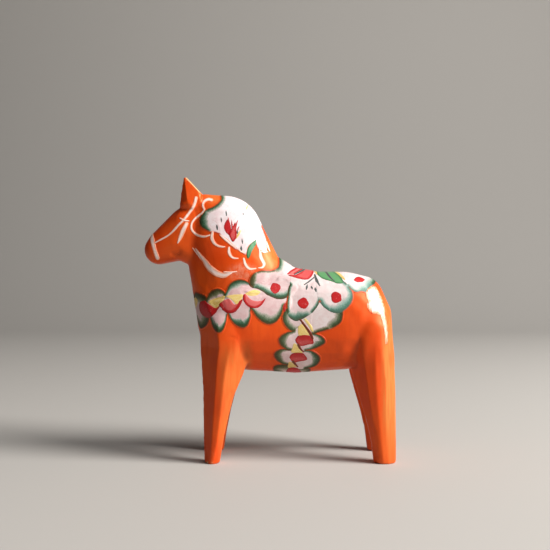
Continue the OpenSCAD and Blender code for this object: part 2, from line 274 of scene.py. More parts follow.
def cut_leg(co, ridges, faces, span):
    """Draws the outside of a pair of legs in towards their middles, onto long flat faces that
    meet in the given ridges."""
    low_x, high_x = span
    turns, fade_low, fade_high = np.array(faces, float).T
    turns = np.radians(turns)
    leg = ((co[:, 0] > low_x) & (co[:, 0] < high_x) & (np.abs(co[:, 1]) > LEG_INSIDE)
           & (co[:, 2] < fade_high.max()))
    x, out, level = co[leg, 0], np.abs(co[leg, 1]), co[leg, 2]
    bands = np.round(level).astype(int)
    widest = [out[bands == band].max() for band in range(bands.max() + 1)]
    heights, *ridge_x = np.array(ridges, float).T
    ridge_x = [np.interp(level, heights, ridge) for ridge in ridge_x]
    outermost = int(np.argmax(turns > 0)) - 1
    ridge_out = [None] * len(ridge_x)
    widest = neighbour_smooth(widest)
    ridge_out[outermost] = np.interp(level, np.arange(len(widest)), widest) - FACE_DEPTH
    for k in range(outermost + 1, len(ridge_x)):
        ridge_out[k] = ridge_out[k - 1] - (ridge_x[k] - ridge_x[k - 1]) * math.tan(turns[k])
    for k in range(outermost - 1, -1, -1):
        ridge_out[k] = ridge_out[k + 1] + (ridge_x[k + 1] - ridge_x[k]) * math.tan(turns[k + 1])
    middle_x = (ridge_x[0] + ridge_x[-1]) / 2
    middle_out = ridge_out[outermost] - LEG_HALF
    shrink = np.ones(len(x))
    beside = smoothstep(x, low_x, low_x + LEG_FADE) * (1 - smoothstep(x, high_x - LEG_FADE, high_x))
    for k, turn in enumerate(turns):
        ridge = min(k, len(ridge_x) - 1)
        ahead, aside = math.sin(turn), math.cos(turn)
        reach = (ridge_x[ridge] - middle_x) * ahead + (ridge_out[ridge] - middle_out) * aside
        away = (x - middle_x) * ahead + (out - middle_out) * aside
        taken = np.where(away > reach, 1 - reach / np.maximum(away, reach), 0)
        taken *= beside * (1 - smoothstep(level, fade_low[k], fade_high[k]))
        shrink = np.minimum(shrink, 1 - taken)
    co[leg, 0] = middle_x + (x - middle_x) * shrink
    co[leg, 1] = np.sign(co[leg, 1]) * (middle_out + (out - middle_out) * shrink)


def neighbour_smooth(values):
    """Each value averaged with the two beside it."""
    values = np.array(values)
    padded = np.concatenate([values[:1], values, values[-1:]])
    return (padded[:-2] + padded[1:-1] + padded[2:]) / 3


# One ear: its tip, the foot of its front edge, the foot of its outer edge, and where its back
# edge runs into the poll
EAR_TIP = np.array([-39.0, -5.6, 131.2])
EAR_FRONT = np.array([-41.4, -5.5, 115.5])
EAR_OUTER = np.array([-36.8, -9.3, 115.5])
EAR_BACK = np.array([-31.0, -7.6, 122.6])
EAR_FOOT_Z = 117.0          # the faces begin here
EAR_FREE_Z = 119.5          # and are fully flat from here up
EAR_END_X = -30.5           # nothing behind this is an ear
EAR_NEAR = 2.5              # only points this near to a face are drawn onto it
POLL_HALF = 2.0             # the poll between the ears is left out to here from the middle


def ear_planes():
    """Outward normals of the five knife-cut faces of the ear on the -Y side, all through its tip."""
    outer = np.cross(EAR_BACK - EAR_OUTER, EAR_TIP - EAR_OUTER)
    front = np.cross(EAR_OUTER - EAR_FRONT, EAR_TIP - EAR_FRONT)
    back = np.array([EAR_TIP[2] - EAR_BACK[2], 0, EAR_BACK[0] - EAR_TIP[0]])
    normals = [outer, front, back]
    normals += [normal * [1, -1, 1] for normal in (outer, front)]
    return [normal / np.linalg.norm(normal) for normal in normals]


def cut_ears(co):
    """Draws the points of both ears onto their flat faces, and leaves the poll between them."""
    mirror = np.ones_like(co)
    mirror[co[:, 1] > 0, 1] = -1
    near = co * mirror
    planes = np.array(ear_planes())
    height = (near - EAR_TIP) @ planes.T
    which = height.argmax(axis=1)
    off = height[np.arange(len(co)), which]
    share = smoothstep(co[:, 2], EAR_FOOT_Z, EAR_FREE_Z)
    share *= 1 - smoothstep(co[:, 0], EAR_END_X - 1, EAR_END_X)
    share *= smoothstep(np.abs(co[:, 1]), POLL_HALF, POLL_HALF + 0.9) * (np.abs(off) < EAR_NEAR)
    return (near - planes[which] * (off * share)[:, None]) * mirror


def refine_ears(mesh):
    """Halves the mesh cells of the ears, so that their edges stay crisp, and returns all places."""
    carved = len(mesh.vertices)
    work = bmesh.new()
    work.from_mesh(mesh)
    faces = [face for face in work.faces
             if all(v.co.z > EAR_FREE_Z * MM and v.co.x < EAR_END_X * MM for v in face.verts)]
    edges = list(dict.fromkeys(edge for face in faces for edge in face.edges))
    bmesh.ops.subdivide_edges(work, edges=edges, cuts=1, use_grid_fill=True)
    bmesh.ops.triangulate(work, faces=[f for f in work.faces if len(f.verts) > 4])
    work.to_mesh(mesh)
    work.free()
    co = read_places(mesh)
    co[carved:] = cut_ears(co[carved:])
    write_places(mesh, co)
    return co


# Edges rubbed down to the wood: the two ends of each, and how wide the bare strip is
WORN_EDGES = [
    (EAR_TIP, EAR_BACK, 0.7),
    ([-39.2, -5.6, 129.8], [-39.6, -5.5, 127.0], 0.5),
    ([-28.9, -12.5, 0.6], [-27.0, -17.5, 0.6], 0.5),
    ([-43.9, -5.5, 113.4], [-42.9, -6.6, 113.8], 0.4),
]


def mark_worn(mesh, co):
    """Point attribute: how bare the wood is."""
    bare = np.zeros(len(co))
    for side in (1, -1):
        for start, end, width in WORN_EDGES:
            a, b = (np.array(p) * [1, side, 1] for p in (start, end))
            t = np.clip((co - a) @ (b - a) / ((b - a) @ (b - a)), 0, 1)
            away = np.linalg.norm(co - a - t[:, None] * (b - a), axis=1)
            bare = np.maximum(bare, 1 - smoothstep(away, 0.1 * width, 1.3 * width))
    write_attribute(mesh, "worn", bare)


def block_mesh():
    """The carved block: a copy of the CAD form, without its tags, that is worked over by sanding
    and by the knife."""
    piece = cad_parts["carved_body"].copy()
    piece.data = piece.data.copy()
    piece.name = "horse_block"
    piece.data.name = "horse_block"
    bpy.context.scene.collection.objects.link(piece)
    for key in list(piece.keys()):
        del piece[key]
    weld = piece.modifiers.new("weld", "WELD")
    weld.merge_threshold = 1e-6
    remesh = piece.modifiers.new("remesh", "REMESH")
    remesh.mode = "VOXEL"
    remesh.voxel_size = CELL * MM
    view = bpy.context.evaluated_depsgraph_get()
    mesh = bpy.data.meshes.new_from_object(piece.evaluated_get(view), depsgraph=view)
    piece.modifiers.clear()
    piece.data = mesh

    co, quads = read_places(mesh), corners_of(mesh)
    edges = quad_edges(quads)
    co = relax(co, edges, softness(co), SMOOTHING_ROUNDS)
    rng = np.random.default_rng(KNIFE_SEED)
    normals = normals_of(co, quads)
    for at in rng.integers(0, len(co), KNIFE_CUTS):
        depth, reach, stretch = (rng.uniform(*span) for span in (KNIFE_DEPTH, KNIFE_REACH, KNIFE_STRETCH))
        if co[at, 2] < KNIFE_TOP_Z:
            turned = smoothstep(normals @ normals[at], 0.75, 0.92)
            along = grain_direction(co[at])
            knife_cut(co, turned, co[at].copy(), normals[at], depth, reach, along, stretch)
    cut_leg(co, FRONT_LEG_RIDGES, FRONT_LEG_FACES, FRONT_LEG_SPAN)
    cut_leg(co, HIND_LEG_RIDGES, HIND_LEG_FACES, HIND_LEG_SPAN)
    for x, z, reach, half in SOFT_CORNERS:
        away = np.hypot(co[:, 0] - x, co[:, 2] - z) / reach
        soft = (1 - smoothstep(away, 0.4, 1)) * (1 - smoothstep(np.abs(co[:, 1]), half - 1.6, half))
        co = relax(co, edges, soft, SOFT_ROUNDS)
    for at, facing, depth, reach in PLAIN_CUTS:
        for side in (1, -1):
            towards = np.array(facing) * [1, side, 1]
            towards /= np.linalg.norm(towards)
            near = co[np.argmin(np.linalg.norm(co - np.array(at) * [1, side, 1], axis=1))].copy()
            along = grain_direction(near)
            knife_cut(co, np.ones(len(co)), near, towards, depth, reach, along, PLAIN_CUT_STRETCH)
    co = cut_ears(relax(co, edges, np.full(len(co), 0.5), LAST_ROUNDS))
    co[:, 2] = np.maximum(co[:, 2], 0)
    write_places(mesh, co)
    return piece, co, quads, edges


def write_attribute(mesh, name, values):
    data = mesh.attributes.new(name, "FLOAT", "POINT").data
    data.foreach_set("value", np.asarray(values, np.float32))


def mark_edge_wear_and_hollow_shade(mesh, co, edges, normals):
    """Point attributes: how much the surface stands out as an edge, for wear, and how far it dips in, for
    painted shade in its hollows.
    """
    bulge = np.sum(normals * (co - neighbour_mean(co, edges)), axis=1)
    for _ in range(EDGE_WEAR_AND_SHADE_ROUNDS):
        bulge = neighbour_mean(bulge, edges)
    write_attribute(mesh, "edge", smoothstep(bulge, 0.012, 0.055))
    write_attribute(mesh, "hollow_shade", smoothstep(-bulge, 0.002, 0.02))


# ---------- paint laid on the block ----------

class Ground:
    """The surface that paint lies on, and what part of it each outline covers."""

    def __init__(self, co, quads):
        self.co = co
        self.quads = quads
        self.normals = normals_of(co, quads)
        self.flat = side_view(co)
        facing = self.normals[quads].mean(axis=1)
        middle = co[quads].mean(axis=1)
        # The insides of the legs and neck take no paint, though the side view shows them too
        self.outward = facing[:, 1] * np.sign(middle[:, 1]) > -0.25
        self.low = self.flat[quads].min(axis=1)
        self.high = self.flat[quads].max(axis=1)

    def patch(self, low, high):
        """Fine triangles of the ground within a box of the side view."""
        near = self.outward & (self.high > low).all(axis=1) & (self.low < high).all(axis=1)
        corners = self.quads[near]
        n = CELL_SPLIT
        grid = [(i / n, j / n) for j in range(n + 1) for i in range(n + 1)]
        both = np.hstack([self.co, self.normals])
        a, b, c, d = (both[corners[:, k]] for k in range(4))
        rows = [a * (1 - u) * (1 - v) + b * u * (1 - v) + c * u * v + d * (1 - u) * v for u, v in grid]
        points = np.stack(rows, axis=1)
        # Points of neighbouring cells that coincide become one
        key = np.round(points[:, :, :3] * 2e3).astype(np.int64).reshape(-1, 3)
        _, first, index = np.unique(key, axis=0, return_index=True, return_inverse=True)
        index = index.reshape(len(corners), (n + 1) ** 2)
        triangles = []
        for j in range(n):
            for i in range(n):
                k = j * (n + 1) + i
                triangles.append(index[:, [k, k + 1, k + n + 2]])
                triangles.append(index[:, [k, k + n + 2, k + n + 1]])
        flat = points.reshape(-1, 6)[first]
        return flat[:, :3], flat[:, 3:], np.vstack(triangles)


def round_the_chest(co):
    """How much further forward the front of the chest counts, so that petals can be drawn on it:
    three quarters of the way inwards from its corner, eased in over the first 3 mm."""
    x, y, z = co.T
    inward = np.maximum(CHEST_CORNER - np.abs(y), 0)
    unrolled = 0.75 * np.where(inward < 3, inward**2 / 6, inward - 1.5)
    return unrolled * (1 - smoothstep(x, -27, -24)) * (1 - smoothstep(z, 80, 84))


def side_view(co):
    """[x, z] of each point. The far side was painted by hand too, so it strays a little."""
    x, y, z = co.T
    far = FAR_SIDE_DRIFT * smoothstep(y, 1, 7)
    return np.stack([
        x - round_the_chest(co) + far * np.sin(0.21 * z + 0.13 * x + 1.0),
        z + far * np.sin(0.19 * x - 0.11 * z + 2.5)
    ], axis=1)


def sides_of(triangles):
    """The two ends of each side of each triangle."""
    return np.vstack([triangles[:, [0, 1]], triangles[:, [1, 2]], triangles[:, [2, 0]]])


def clip(points, normals, triangles, gap):
    """Keeps what lies where gap is negative, cut cleanly along gap = 0. A cut very near to an end
    of a triangle's side is moved onto that end."""
    keep_out = gap > 0
    edges = np.unique(np.sort(sides_of(triangles), axis=1), axis=0)
    cut = edges[keep_out[edges[:, 0]] != keep_out[edges[:, 1]]]
    a, b = cut[:, 0], cut[:, 1]
    t = gap[a] / (gap[a] - gap[b])
    new = len(points) + np.arange(len(cut))
    new = np.where(t < 0.1, a, np.where(t > 0.9, b, new))
    points = np.vstack([points, points[a] + t[:, None] * (points[b] - points[a])])
    normals = np.vstack([normals, normals[a] + t[:, None] * (normals[b] - normals[a])])
    size = len(points)
    order = np.argsort(a * size + b)
    table, made = (a * size + b)[order], new[order]

    def crossing(i, j):
        key = np.minimum(i, j) * size + np.maximum(i, j)
        return made[np.searchsorted(table, key)]

    out = keep_out[triangles]
    kept = [triangles[~out.any(axis=1)]]
    for turn in range(3):
        i, j, k = (triangles[:, (turn + s) % 3] for s in range(3))
        oi, oj, ok = (out[:, (turn + s) % 3] for s in range(3))
        one = ~oi & oj & ok
        i1, j1, k1 = i[one], j[one], k[one]
        kept.append(np.stack([i1, crossing(i1, j1), crossing(i1, k1)], axis=1))
        two = oi & ~oj & ~ok
        i2, j2, k2 = i[two], j[two], k[two]
        ij, ik = crossing(i2, j2), crossing(i2, k2)
        kept.append(np.stack([ij, j2, k2], axis=1))
        kept.append(np.stack([ij, k2, ik], axis=1))
    triangles = np.vstack(kept)
    distinct = ((triangles[:, 0] != triangles[:, 1]) & (triangles[:, 1] != triangles[:, 2])
                & (triangles[:, 2] != triangles[:, 0]))
    triangles = triangles[distinct]
    used, index = np.unique(triangles, return_inverse=True)
    return points[used], normals[used], index.reshape(-1, 3)


def shell(points, normals, triangles, lift, base):
    """A closed film: its top at each point's lift, its underside sunk into what it lies on."""
    top = points + normals * lift[:, None]
    under = points + normals * (base - SINK)[:, None]
    size = len(points)
    pairs = sides_of(triangles)
    _, index, count = np.unique(np.sort(pairs, axis=1), axis=0, return_inverse=True, return_counts=True)
    rim = pairs[count[index.ravel()] == 1]
    a, b = rim[:, 0], rim[:, 1]
    walls = np.vstack([np.stack([b, a, a + size], axis=1), np.stack([b, a + size, b + size], axis=1)])
    faces = np.vstack([triangles, triangles[:, ::-1] + size, walls])
    return np.vstack([top, under]), faces


class Petal:
    """A filled shape. Each part of its outline is a plain join or a brushed rim:
    (points,) or (points, rim widths, tone), where tone goes from 0, teal, to 1, brown."""

    def __init__(self, *parts):
        self.loop = spline([p for part in parts for p in part[0]], True)
        self.closed = np.vstack([self.loop, self.loop[:1]])
        self.rims = [(spline(part[0], False), np.atleast_1d(part[1]), part[2])
                     for part in parts if len(part) > 1]
        self.bleed = 0.0

    def box(self):
        return self.loop.min(axis=0) - 1, self.loop.max(axis=0) + 1

    def gap(self, where):
        """Signed distance to the outline, negative inside."""
        distance = nearest_on_line(where, self.closed)[0]
        return np.where(inside(where, self.loop), -distance, distance) - self.bleed

    def marks(self, where):
        """What the paint's material needs to know at each point."""
        rim = np.full(len(where), FAR)
        tone_sum = np.zeros(len(where))
        share_sum = np.full(len(where), 1e-9)
        along = np.zeros(len(where))
        depth = np.full(len(where), np.inf)
        outside = np.maximum(self.gap(where) + self.bleed, 0)
        for line, widths, tone in self.rims:
            distance, run, _ = nearest_on_line(where, line)
            width = np.interp(run, np.linspace(0, run.max(), len(widths)), widths)
            closer = distance < depth
            along = np.where(closer, run, along)
            depth = np.where(closer, distance, depth)
            rim = np.minimum(rim, (distance - 2 * outside) / width)
            share = np.exp(-2.5 * distance)
            tone_sum += tone * share
            share_sum += share
        if not self.rims:
            depth, along, _ = nearest_on_line(where, self.closed)
        return {"rim": rim, "tone": tone_sum / share_sum, "along": along, "depth": depth}


class Stroke:
    """One pull of the brush along a route, with a width at each of its points."""

    def __init__(self, route, widths):
        self.line = spline(route, False)
        at = np.linspace(0, 1, len(widths))
        self.widths = np.interp(np.linspace(0, 1, len(self.line)), at, widths) + STROKE_SPREAD
        step = np.linalg.norm(np.diff(self.line, axis=0), axis=1)
        self.run = np.concatenate([[0], np.cumsum(step)])

    def box(self):
        wide = self.widths.max() / 2 + 1
        return self.line.min(axis=0) - wide, self.line.max(axis=0) + wide

    def gap(self, where):
        distance, along, _ = nearest_on_line(where, self.line)
        return distance - np.interp(along, self.run, self.widths) / 2

    def marks(self, where):
        distance, along, side = nearest_on_line(where, self.line)
        half = np.interp(along, self.run, self.widths) / 2
        return {"rim": 1 - distance / half, "tone": along / self.run[-1], "along": along,
                "depth": distance * side + 5}


def near_shapes(shapes, where):
    """For each shape with points in its box: which points they are, and their gaps to the shape."""
    for shape in shapes:
        low, high = shape.box()
        near = ((where > low) & (where < high)).all(axis=1)
        if near.any():
            yield near, shape.gap(where[near])


def strokes_under(laid, where):
    """How many earlier strokes each point lies over, partly so just beside their edges."""
    total = np.zeros(len(where))
    for near, gap in near_shapes(laid, where):
        total[near] += 1 - smoothstep(gap, 0.1, 0.9)
    return total


def depth_within(shapes, where):
    """How far inside all the shapes together each point lies. Without shapes, it is FAR."""
    depth = np.full(len(where), -FAR if shapes else FAR)
    for near, gap in near_shapes(shapes, where):
        depth[near] = np.maximum(depth[near], -gap)
    return depth


def lay_paint(ground, name, shapes, laid, fading):
    """One named piece of paint: each of its shapes is a closed film on the block, which rides
    over all that was laid before it. It thins out towards the outer edge of the fading shapes."""
    vertices, faces, marks, size = [], [], [], 0
    for number, shape in enumerate(shapes):
        points, normals, triangles = ground.patch(*shape.box())
        gap = shape.gap(side_view(points))
        # A point that lies on the outline counts as just inside it
        gap = np.where(np.abs(gap) < 0.01, -0.01, gap)
        points, normals, triangles = clip(points, normals, triangles, gap)
        where = side_view(points)
        rise = np.clip(-shape.gap(where) / EDGE_ROUND, 0, 1)
        mark = shape.marks(where)
        mark["fade"] = depth_within(fading, where)
        base = LEVEL * strokes_under(laid, where)
        laid.append(shape)
        body = np.sqrt(1 - (1 - rise) ** 2)
        brushed = 1 + BRUSH_RELIEF * ripple(mark["along"], mark["depth"], number + len(name))
        lift = base + FIRST_LIFT + COAT * body * brushed
        more, sides = shell(points, normals, triangles, lift, base)
        vertices.append(more)
        faces.append(sides + size)
        marks.append({key: np.tile(value, 2) for key, value in mark.items()})
        size += len(more)
    mesh = bpy.data.meshes.new(name)
    co = (np.vstack(vertices) * MM).astype(np.float32)
    triangles = np.vstack(faces).astype(np.int32)
    mesh.vertices.add(len(co))
    mesh.vertices.foreach_set("co", co.ravel())
    mesh.loops.add(triangles.size)
    mesh.loops.foreach_set("vertex_index", triangles.ravel())
    mesh.polygons.add(len(triangles))
    mesh.polygons.foreach_set("loop_start", np.arange(0, triangles.size, 3, dtype=np.int32))
    mesh.update(calc_edges=True)
    mesh.validate()
    mesh.shade_smooth()
    for key in ("rim", "tone", "along", "depth", "fade"):
        write_attribute(mesh, key, np.concatenate([m[key] for m in marks]))
    piece = bpy.data.objects.new(name, mesh)
    bpy.context.scene.collection.objects.link(piece)
    return piece


# ---------- the ornament: bridle, neck and mane ----------

NOSEBAND = [Stroke([[-54.1, 104], [-53.6, 101], [-52.6, 97], [-51.2, 92.7]], [1.0, 2.0, 1.7, 1.8])]
CHEEK_LINE = [Stroke(
    [[-52.2, 99.7], [-50.1, 100.8], [-46.5, 102.7], [-44.2, 104.5], [-41.5, 107.5], [-39.5, 109.3],
     [-38, 111], [-36.1, 113.7], [-34.5, 116], [-33.6, 118.3], [-33.2, 120.2]],
    [0.4, 0.7, 0.9, 1.1, 1.2, 1.3])]
CHEEK_DASH = [
    Stroke([[-37.5, 108.3], [-39.2, 104.8], [-40.7, 101.4], [-41.6, 99.4]], [1.5, 2.0, 1.5, 0.3]),
    Stroke([[-40.6, 110.9], [-38.6, 109.9], [-36.4, 109.6]], [0.3, 0.7, 0.2])]
BROW_CURL = [Stroke(
    [[-26.2, 119.4], [-27.6, 119.7], [-29.2, 118.9], [-30, 117.5], [-29.9, 116], [-29.4, 114.8],
     [-30.3, 113.3], [-32.2, 111.8], [-34.2, 110], [-35.3, 107.9], [-35.1, 105.6], [-33.4, 103.7],
     [-31.1, 102.6], [-28.8, 102.4], [-26.5, 103]],
    [1.4, 1.2, 1.0, 0.8, 0.8, 0.8, 0.9, 1.0, 0.5])]
NECK_CURLS = [
    Stroke([[-25.4, 104.2], [-25.7, 101.8], [-24.7, 99.5], [-23, 98.1], [-21.1, 97.6], [-19.7, 97.6]],
           [1.0, 1.4, 1.3, 1.0, 0.7, 0.3]),
    Stroke([[-17.8, 97.2], [-17.8, 95.2], [-17, 93.5], [-15.7, 92.5], [-13.6, 92.3]],
           [0.8, 1.2, 1.1, 0.8, 0.3]),
    Stroke([[-11.1, 92.2], [-10.4, 89.8], [-9.3, 88.3], [-8, 87.5], [-5.6, 87.7]],
           [0.7, 1.0, 1.2, 1.0, 0.4])]
REIN = [
    Stroke([[-34.7, 97.2], [-32.9, 95], [-30.8, 92.5], [-28.6, 89.9]], [0.2, 0.5, 0.8, 0.8]),
    Stroke([[-33.3, 96.9], [-31.1, 93.9], [-28.8, 91], [-27, 88.4], [-24.7, 86.4], [-22.7, 85.2],
            [-20.3, 84.6], [-18.5, 85], [-16.6, 85.7]],
           [0.3, 1.2, 2.2, 2.8, 2.8, 2.5, 1.9, 0.5]),
    Stroke([[-20, 86.2], [-17.2, 86], [-14.2, 86.4]], [0.3, 0.6, 0.2])]
WITHERS_CURL = [
    Stroke([[-3.7, 95.4], [-3.4, 93.1], [-2.3, 90.8], [-1.9, 89.6], [-2.6, 88.3], [-4.4, 88]],
           [1.0, 1.4, 1.4, 1.4, 0.9, 0.3]),
    Stroke([[-3.2, 95.6], [-1.8, 95.2], [-0.3, 95.4]], [0.4, 0.8, 0.3])]

MANE = [
    Petal(([[-21.8, 124], [-22.2, 121.6], [-21.9, 119.5], [-23.4, 117.5], [-25.3, 116.2], [-28, 115.1]],
           1.25, 0.62),
          ([[-29.9, 113.3], [-31.3, 111.3], [-31.7, 109.4], [-31.2, 107.4], [-29.7, 105.9],
            [-27.6, 104.9]], [1.6, 2.6, 3.2, 3.2, 2.4, 1.0], 0.45),
          ([[-25.7, 104.4], [-24.2, 104.5], [-22.2, 103.7], [-21.1, 102.5], [-19.5, 101], [-17.6, 99.1],
            [-15.3, 97], [-13.8, 96.4], [-12, 95.3], [-10.3, 94.1], [-9.6, 95.6], [-9.2, 97.6],
            [-7.3, 99.4], [-5.8, 99.8], [-5.1, 98.2], [-4.3, 96.6], [-2.6, 95.8], [-0.9, 95.9],
            [-0.6, 97.5], [-0.8, 99.6], [-1.5, 102.3], [-2.6, 105.4], [-3.2, 108], [0, 113],
            [-2, 122], [-10, 130], [-21, 130]],))]
MANE_LEAF_RED = [
    Petal(([[-18.2, 110.4], [-19.8, 108.6], [-20.3, 106.3], [-19.4, 104.2], [-17.4, 102.6],
            [-16.7, 104.8], [-17, 107.6]], 0.8, 1.0)),
    Petal(([[-15, 109], [-16.7, 105.8], [-17.8, 103.6], [-17.4, 101.6], [-16, 99.7], [-14.5, 101.6],
            [-14.3, 104.6]], 0.8, 0.7)),
    Stroke([[-16.9, 110.6], [-16.5, 107.6], [-16.2, 105]], [0.0, 0.5, 0.3]),
    Stroke([[-13.2, 111.8], [-14.3, 108.6], [-15.1, 105]], [-0.2, 0.3, 0.2]),
    Stroke([[-12.6, 108.6], [-13.5, 106.4], [-14.4, 103.8]], [-0.2, 0.3, 0.2]),
    Stroke([[-18.6, 112.2], [-18.2, 110.4], [-18, 108.6]], [-0.2, 0.2, 0.1])]
MANE_LEAF_GREEN = [Petal(
    ([[-5.6, 101], [-7.2, 99.8], [-8.8, 98], [-9.7, 95.8], [-9.8, 93.8], [-9.2, 92.2], [-8.2, 93.3],
      [-7.4, 95.4], [-6.3, 97.4], [-5.4, 99]], 0.9, 0.5))]
MANE_CREAM = [
    Stroke([[-22, 103.1], [-20.4, 101.8], [-18.4, 100.2], [-16.4, 98.4], [-14.4, 97.2]],
           [0.3, 0.9, 1.2, 1.2, 0.9, 0.3]),
    Stroke([[-13.4, 96.6], [-12.4, 95.6], [-10.8, 94.8]], [0.3, 0.8, 0.3]),
    Stroke([[-2.2, 100.6], [-1.4, 97.6], [-0.7, 95.2]], [0.2, 1.1, 0.2]),
    Stroke([[-0.8, 100.2], [0, 97.4], [0.8, 95.6]], [0.1, 0.7, 0.1]),
    Stroke([[-4.2, 98.6], [-3.9, 96.8], [-4.1, 95]], [0.1, 0.7, 0.1])]
MANE_YELLOW = [
    Stroke([[-12.6, 105], [-13.4, 103.6], [-14.4, 101.6]], [0.3, 1.0, 0.4]),
    Stroke([[-9.4, 117.4], [-10, 115.8], [-10.4, 114.6]], [0.2, 0.6, 0.2])]
SEEDS = [([-19.2, 113.1], 0.6, 2.2), ([-21.4, 110], 0.6, 2.0), ([-23.3, 106.6], 0.9, 2.2),
         ([-11.8, 100.2], 0.6, 2.3), ([-12.2, 97], 0.9, 1.9), ([-11.5, 112.9], 0.6, 1.2),
         ([-14, 104.4], 0.5, 1.2)]


def dab(place, wide, tall, lean=-0.12):
    """A short upright touch of the brush."""
    x, z = place
    return Stroke([[x + lean * tall / 2, z + tall / 2], [x, z], [x - lean * tall / 2, z - tall / 2]],
                  [0.3 * wide, wide, 0.5 * wide])


SEED_MARKS = [dab(place, wide, tall) for place, wide, tall in SEEDS]

# ---------- the ornament: chest ----------

CHEST_LOWER = [
    Petal(([[-34.7, 67.5], [-34.9, 65], [-35.8, 62.5], [-37.4, 60.7], [-39.6, 59.9], [-43, 59.7],
            [-46, 59.7]], [0.6, 1.8, 2.6, 2.6], 0.7),
          ([[-46, 74], [-37, 74], [-34.8, 71]],)),
    Petal(([[-34.9, 68], [-34.9, 65.6], [-34.3, 63], [-32.8, 61], [-30.8, 60.1], [-28.9, 60.9],
            [-27.4, 62.5], [-26.4, 65]], [0.6, 1.8, 2.4, 2.4, 2.4], 1.0),
          ([[-26, 72], [-30, 74.5], [-34.9, 72]],)),
    Petal(([[-26.6, 69], [-26.2, 66], [-25.6, 63.2], [-24.6, 60.8], [-23, 59.2], [-21.4, 58.9],
            [-20, 60.1], [-19, 62.5], [-18.5, 64.8], [-18.2, 67]],
           [0.5, 0.6, 1.4, 3.2, 3.2, 1.6, 0.7, 0.5], 0.65),
          ([[-17, 72], [-26, 72]],)),
    Petal(([[-17.8, 68], [-17.2, 66], [-16.2, 64], [-14.6, 62.4], [-12.6, 61.4], [-10.6, 61.2],
            [-9, 62.2], [-8.2, 64.2], [-7.7, 66.7], [-7.8, 69]],
           [0.5, 0.7, 2.0, 3.4, 3.4, 2.0, 0.7, 0.5], 0.45),
          ([[-6, 75], [-18, 75]],)),
    Petal(([[-8, 70.5], [-7, 68.7], [-5.6, 66.4], [-3.6, 64.4], [-1.2, 62.9], [1.4, 62.6],
            [3.8, 63.8], [5.6, 66], [6.6, 68.6], [7, 71]], [0.6, 1.5, 2.6, 2.6, 2.2, 1.4, 0.8], 0.72),
          ([[8.5, 74], [8.5, 78], [-6, 78]],))]
CHEST_UPPER = [
    Petal(([[-36.3, 73.5], [-36.9, 75.8], [-38.4, 77.6], [-40.4, 78.4], [-43, 78.6], [-46, 78.6]],
           [0.6, 1.8, 2.6, 2.6], 0.8),
          ([[-46, 66], [-38, 66.5]],)),
    Petal(([[-36.6, 73.5], [-36.2, 75.6], [-34.6, 76.9], [-32.5, 76.9], [-30, 76.1], [-28, 75]],
           [0.8, 2.0, 2.6, 2.6, 2.6], 1.0),
          ([[-26.5, 71], [-31, 66.5], [-36, 68]],)),
    Petal(([[-28.2, 73.2], [-27.6, 75.2], [-26.7, 76.9], [-25, 78.2], [-22.7, 78.8], [-20.7, 78.1],
            [-19.3, 76.8], [-18.6, 75.4]], [0.8, 1.8, 2.6, 2.4, 1.4, 0.6], 0.9),
          ([[-18, 71], [-26, 68]],)),
    Petal(([[-19.8, 75], [-19, 77.2], [-18.3, 79.3], [-17.1, 81.1], [-15.3, 82.3], [-13.2, 82.9],
            [-11.1, 82.7], [-9.2, 81.8], [-7.6, 80.8]], [0.6, 1.0, 1.8, 2.3, 2.0, 1.2, 0.6], 0.58),
          ([[-4.5, 79.8], [-1, 78.4], [0, 76.6], [-3, 75.5], [-5, 72], [-12, 69.5], [-17, 69]],))]
CHEST_YELLOW = [
    Petal(([[-32.3, 73.2], [-34.2, 74.5], [-36.4, 74.2], [-38.4, 73.8], [-37.4, 72], [-36.2, 70.2],
            [-34.6, 69.6], [-33, 71.2]], 1.0, 0.4)),
    Petal(([[-27.2, 72.4], [-25, 74], [-22, 74.9], [-19.2, 75.4], [-20.2, 73], [-21.6, 71.2],
            [-23.3, 69.3], [-25.3, 70.6]], 1.0, 0.5)),
    Petal(([[-19, 75.1], [-16.6, 75.9], [-13.8, 76.2], [-11.1, 75.9], [-11.9, 73.8], [-12.9, 71.7],
            [-14.1, 71.3], [-15.5, 72.8], [-17, 74]], 1.0, 0.1)),
    Petal(([[-10.4, 76.3], [-8.6, 77.5], [-5.9, 78.1], [-3.4, 77.1], [-4.9, 75.6], [-8, 75.3]],
           1.2, 0.2))]
CHEST_RED = [
    Petal(([[-36.2, 71.8], [-36.9, 69.6], [-38.4, 67.7], [-40.6, 66.8], [-43, 66.6], [-46, 66.6]],
           1.6, 0.6),
          ([[-46, 70.2], [-42, 70.4], [-39.8, 71], [-37.8, 72.6]],)),
    Petal(([[-31.2, 72.4], [-31.6, 69.5], [-30.6, 67.1], [-28.3, 65.4], [-26, 65.5], [-24, 67.1],
            [-22.6, 69], [-21.7, 70.9]], 1.8, 1.0),
          ([[-23.5, 70], [-25.5, 70.8], [-27.3, 72], [-28.8, 73.2]],)),
    Petal(([[-22.1, 71.6], [-21.2, 70.1], [-20.2, 68.8], [-18.4, 67.7], [-16.2, 67.6], [-14, 68.8],
            [-12.3, 71], [-11.2, 73.8]], 1.5, 0.55),
          ([[-12.6, 73.4], [-13.8, 71.9], [-15.2, 71.7], [-16.4, 73.2], [-17.8, 74.1],
            [-20.2, 73.2]],)),
    Petal(([[-11.2, 75.8], [-11.1, 73.3], [-9.8, 71.2], [-7.8, 70.1], [-5.5, 69.8], [-3.4, 70.7],
            [-1.8, 72.6], [-0.9, 74.8]], 1.1, 0.45),
          ([[-2.6, 73.4], [-4, 73.2], [-5.6, 73.2], [-7.4, 73.8], [-8.8, 74.9], [-10, 76.1]],)),
    Stroke([[7.6, 72], [7.3, 70.3], [7.4, 68.6]], [0.4, 0.8, 0.5])]

# ---------- the ornament: saddle, rump and tail ----------

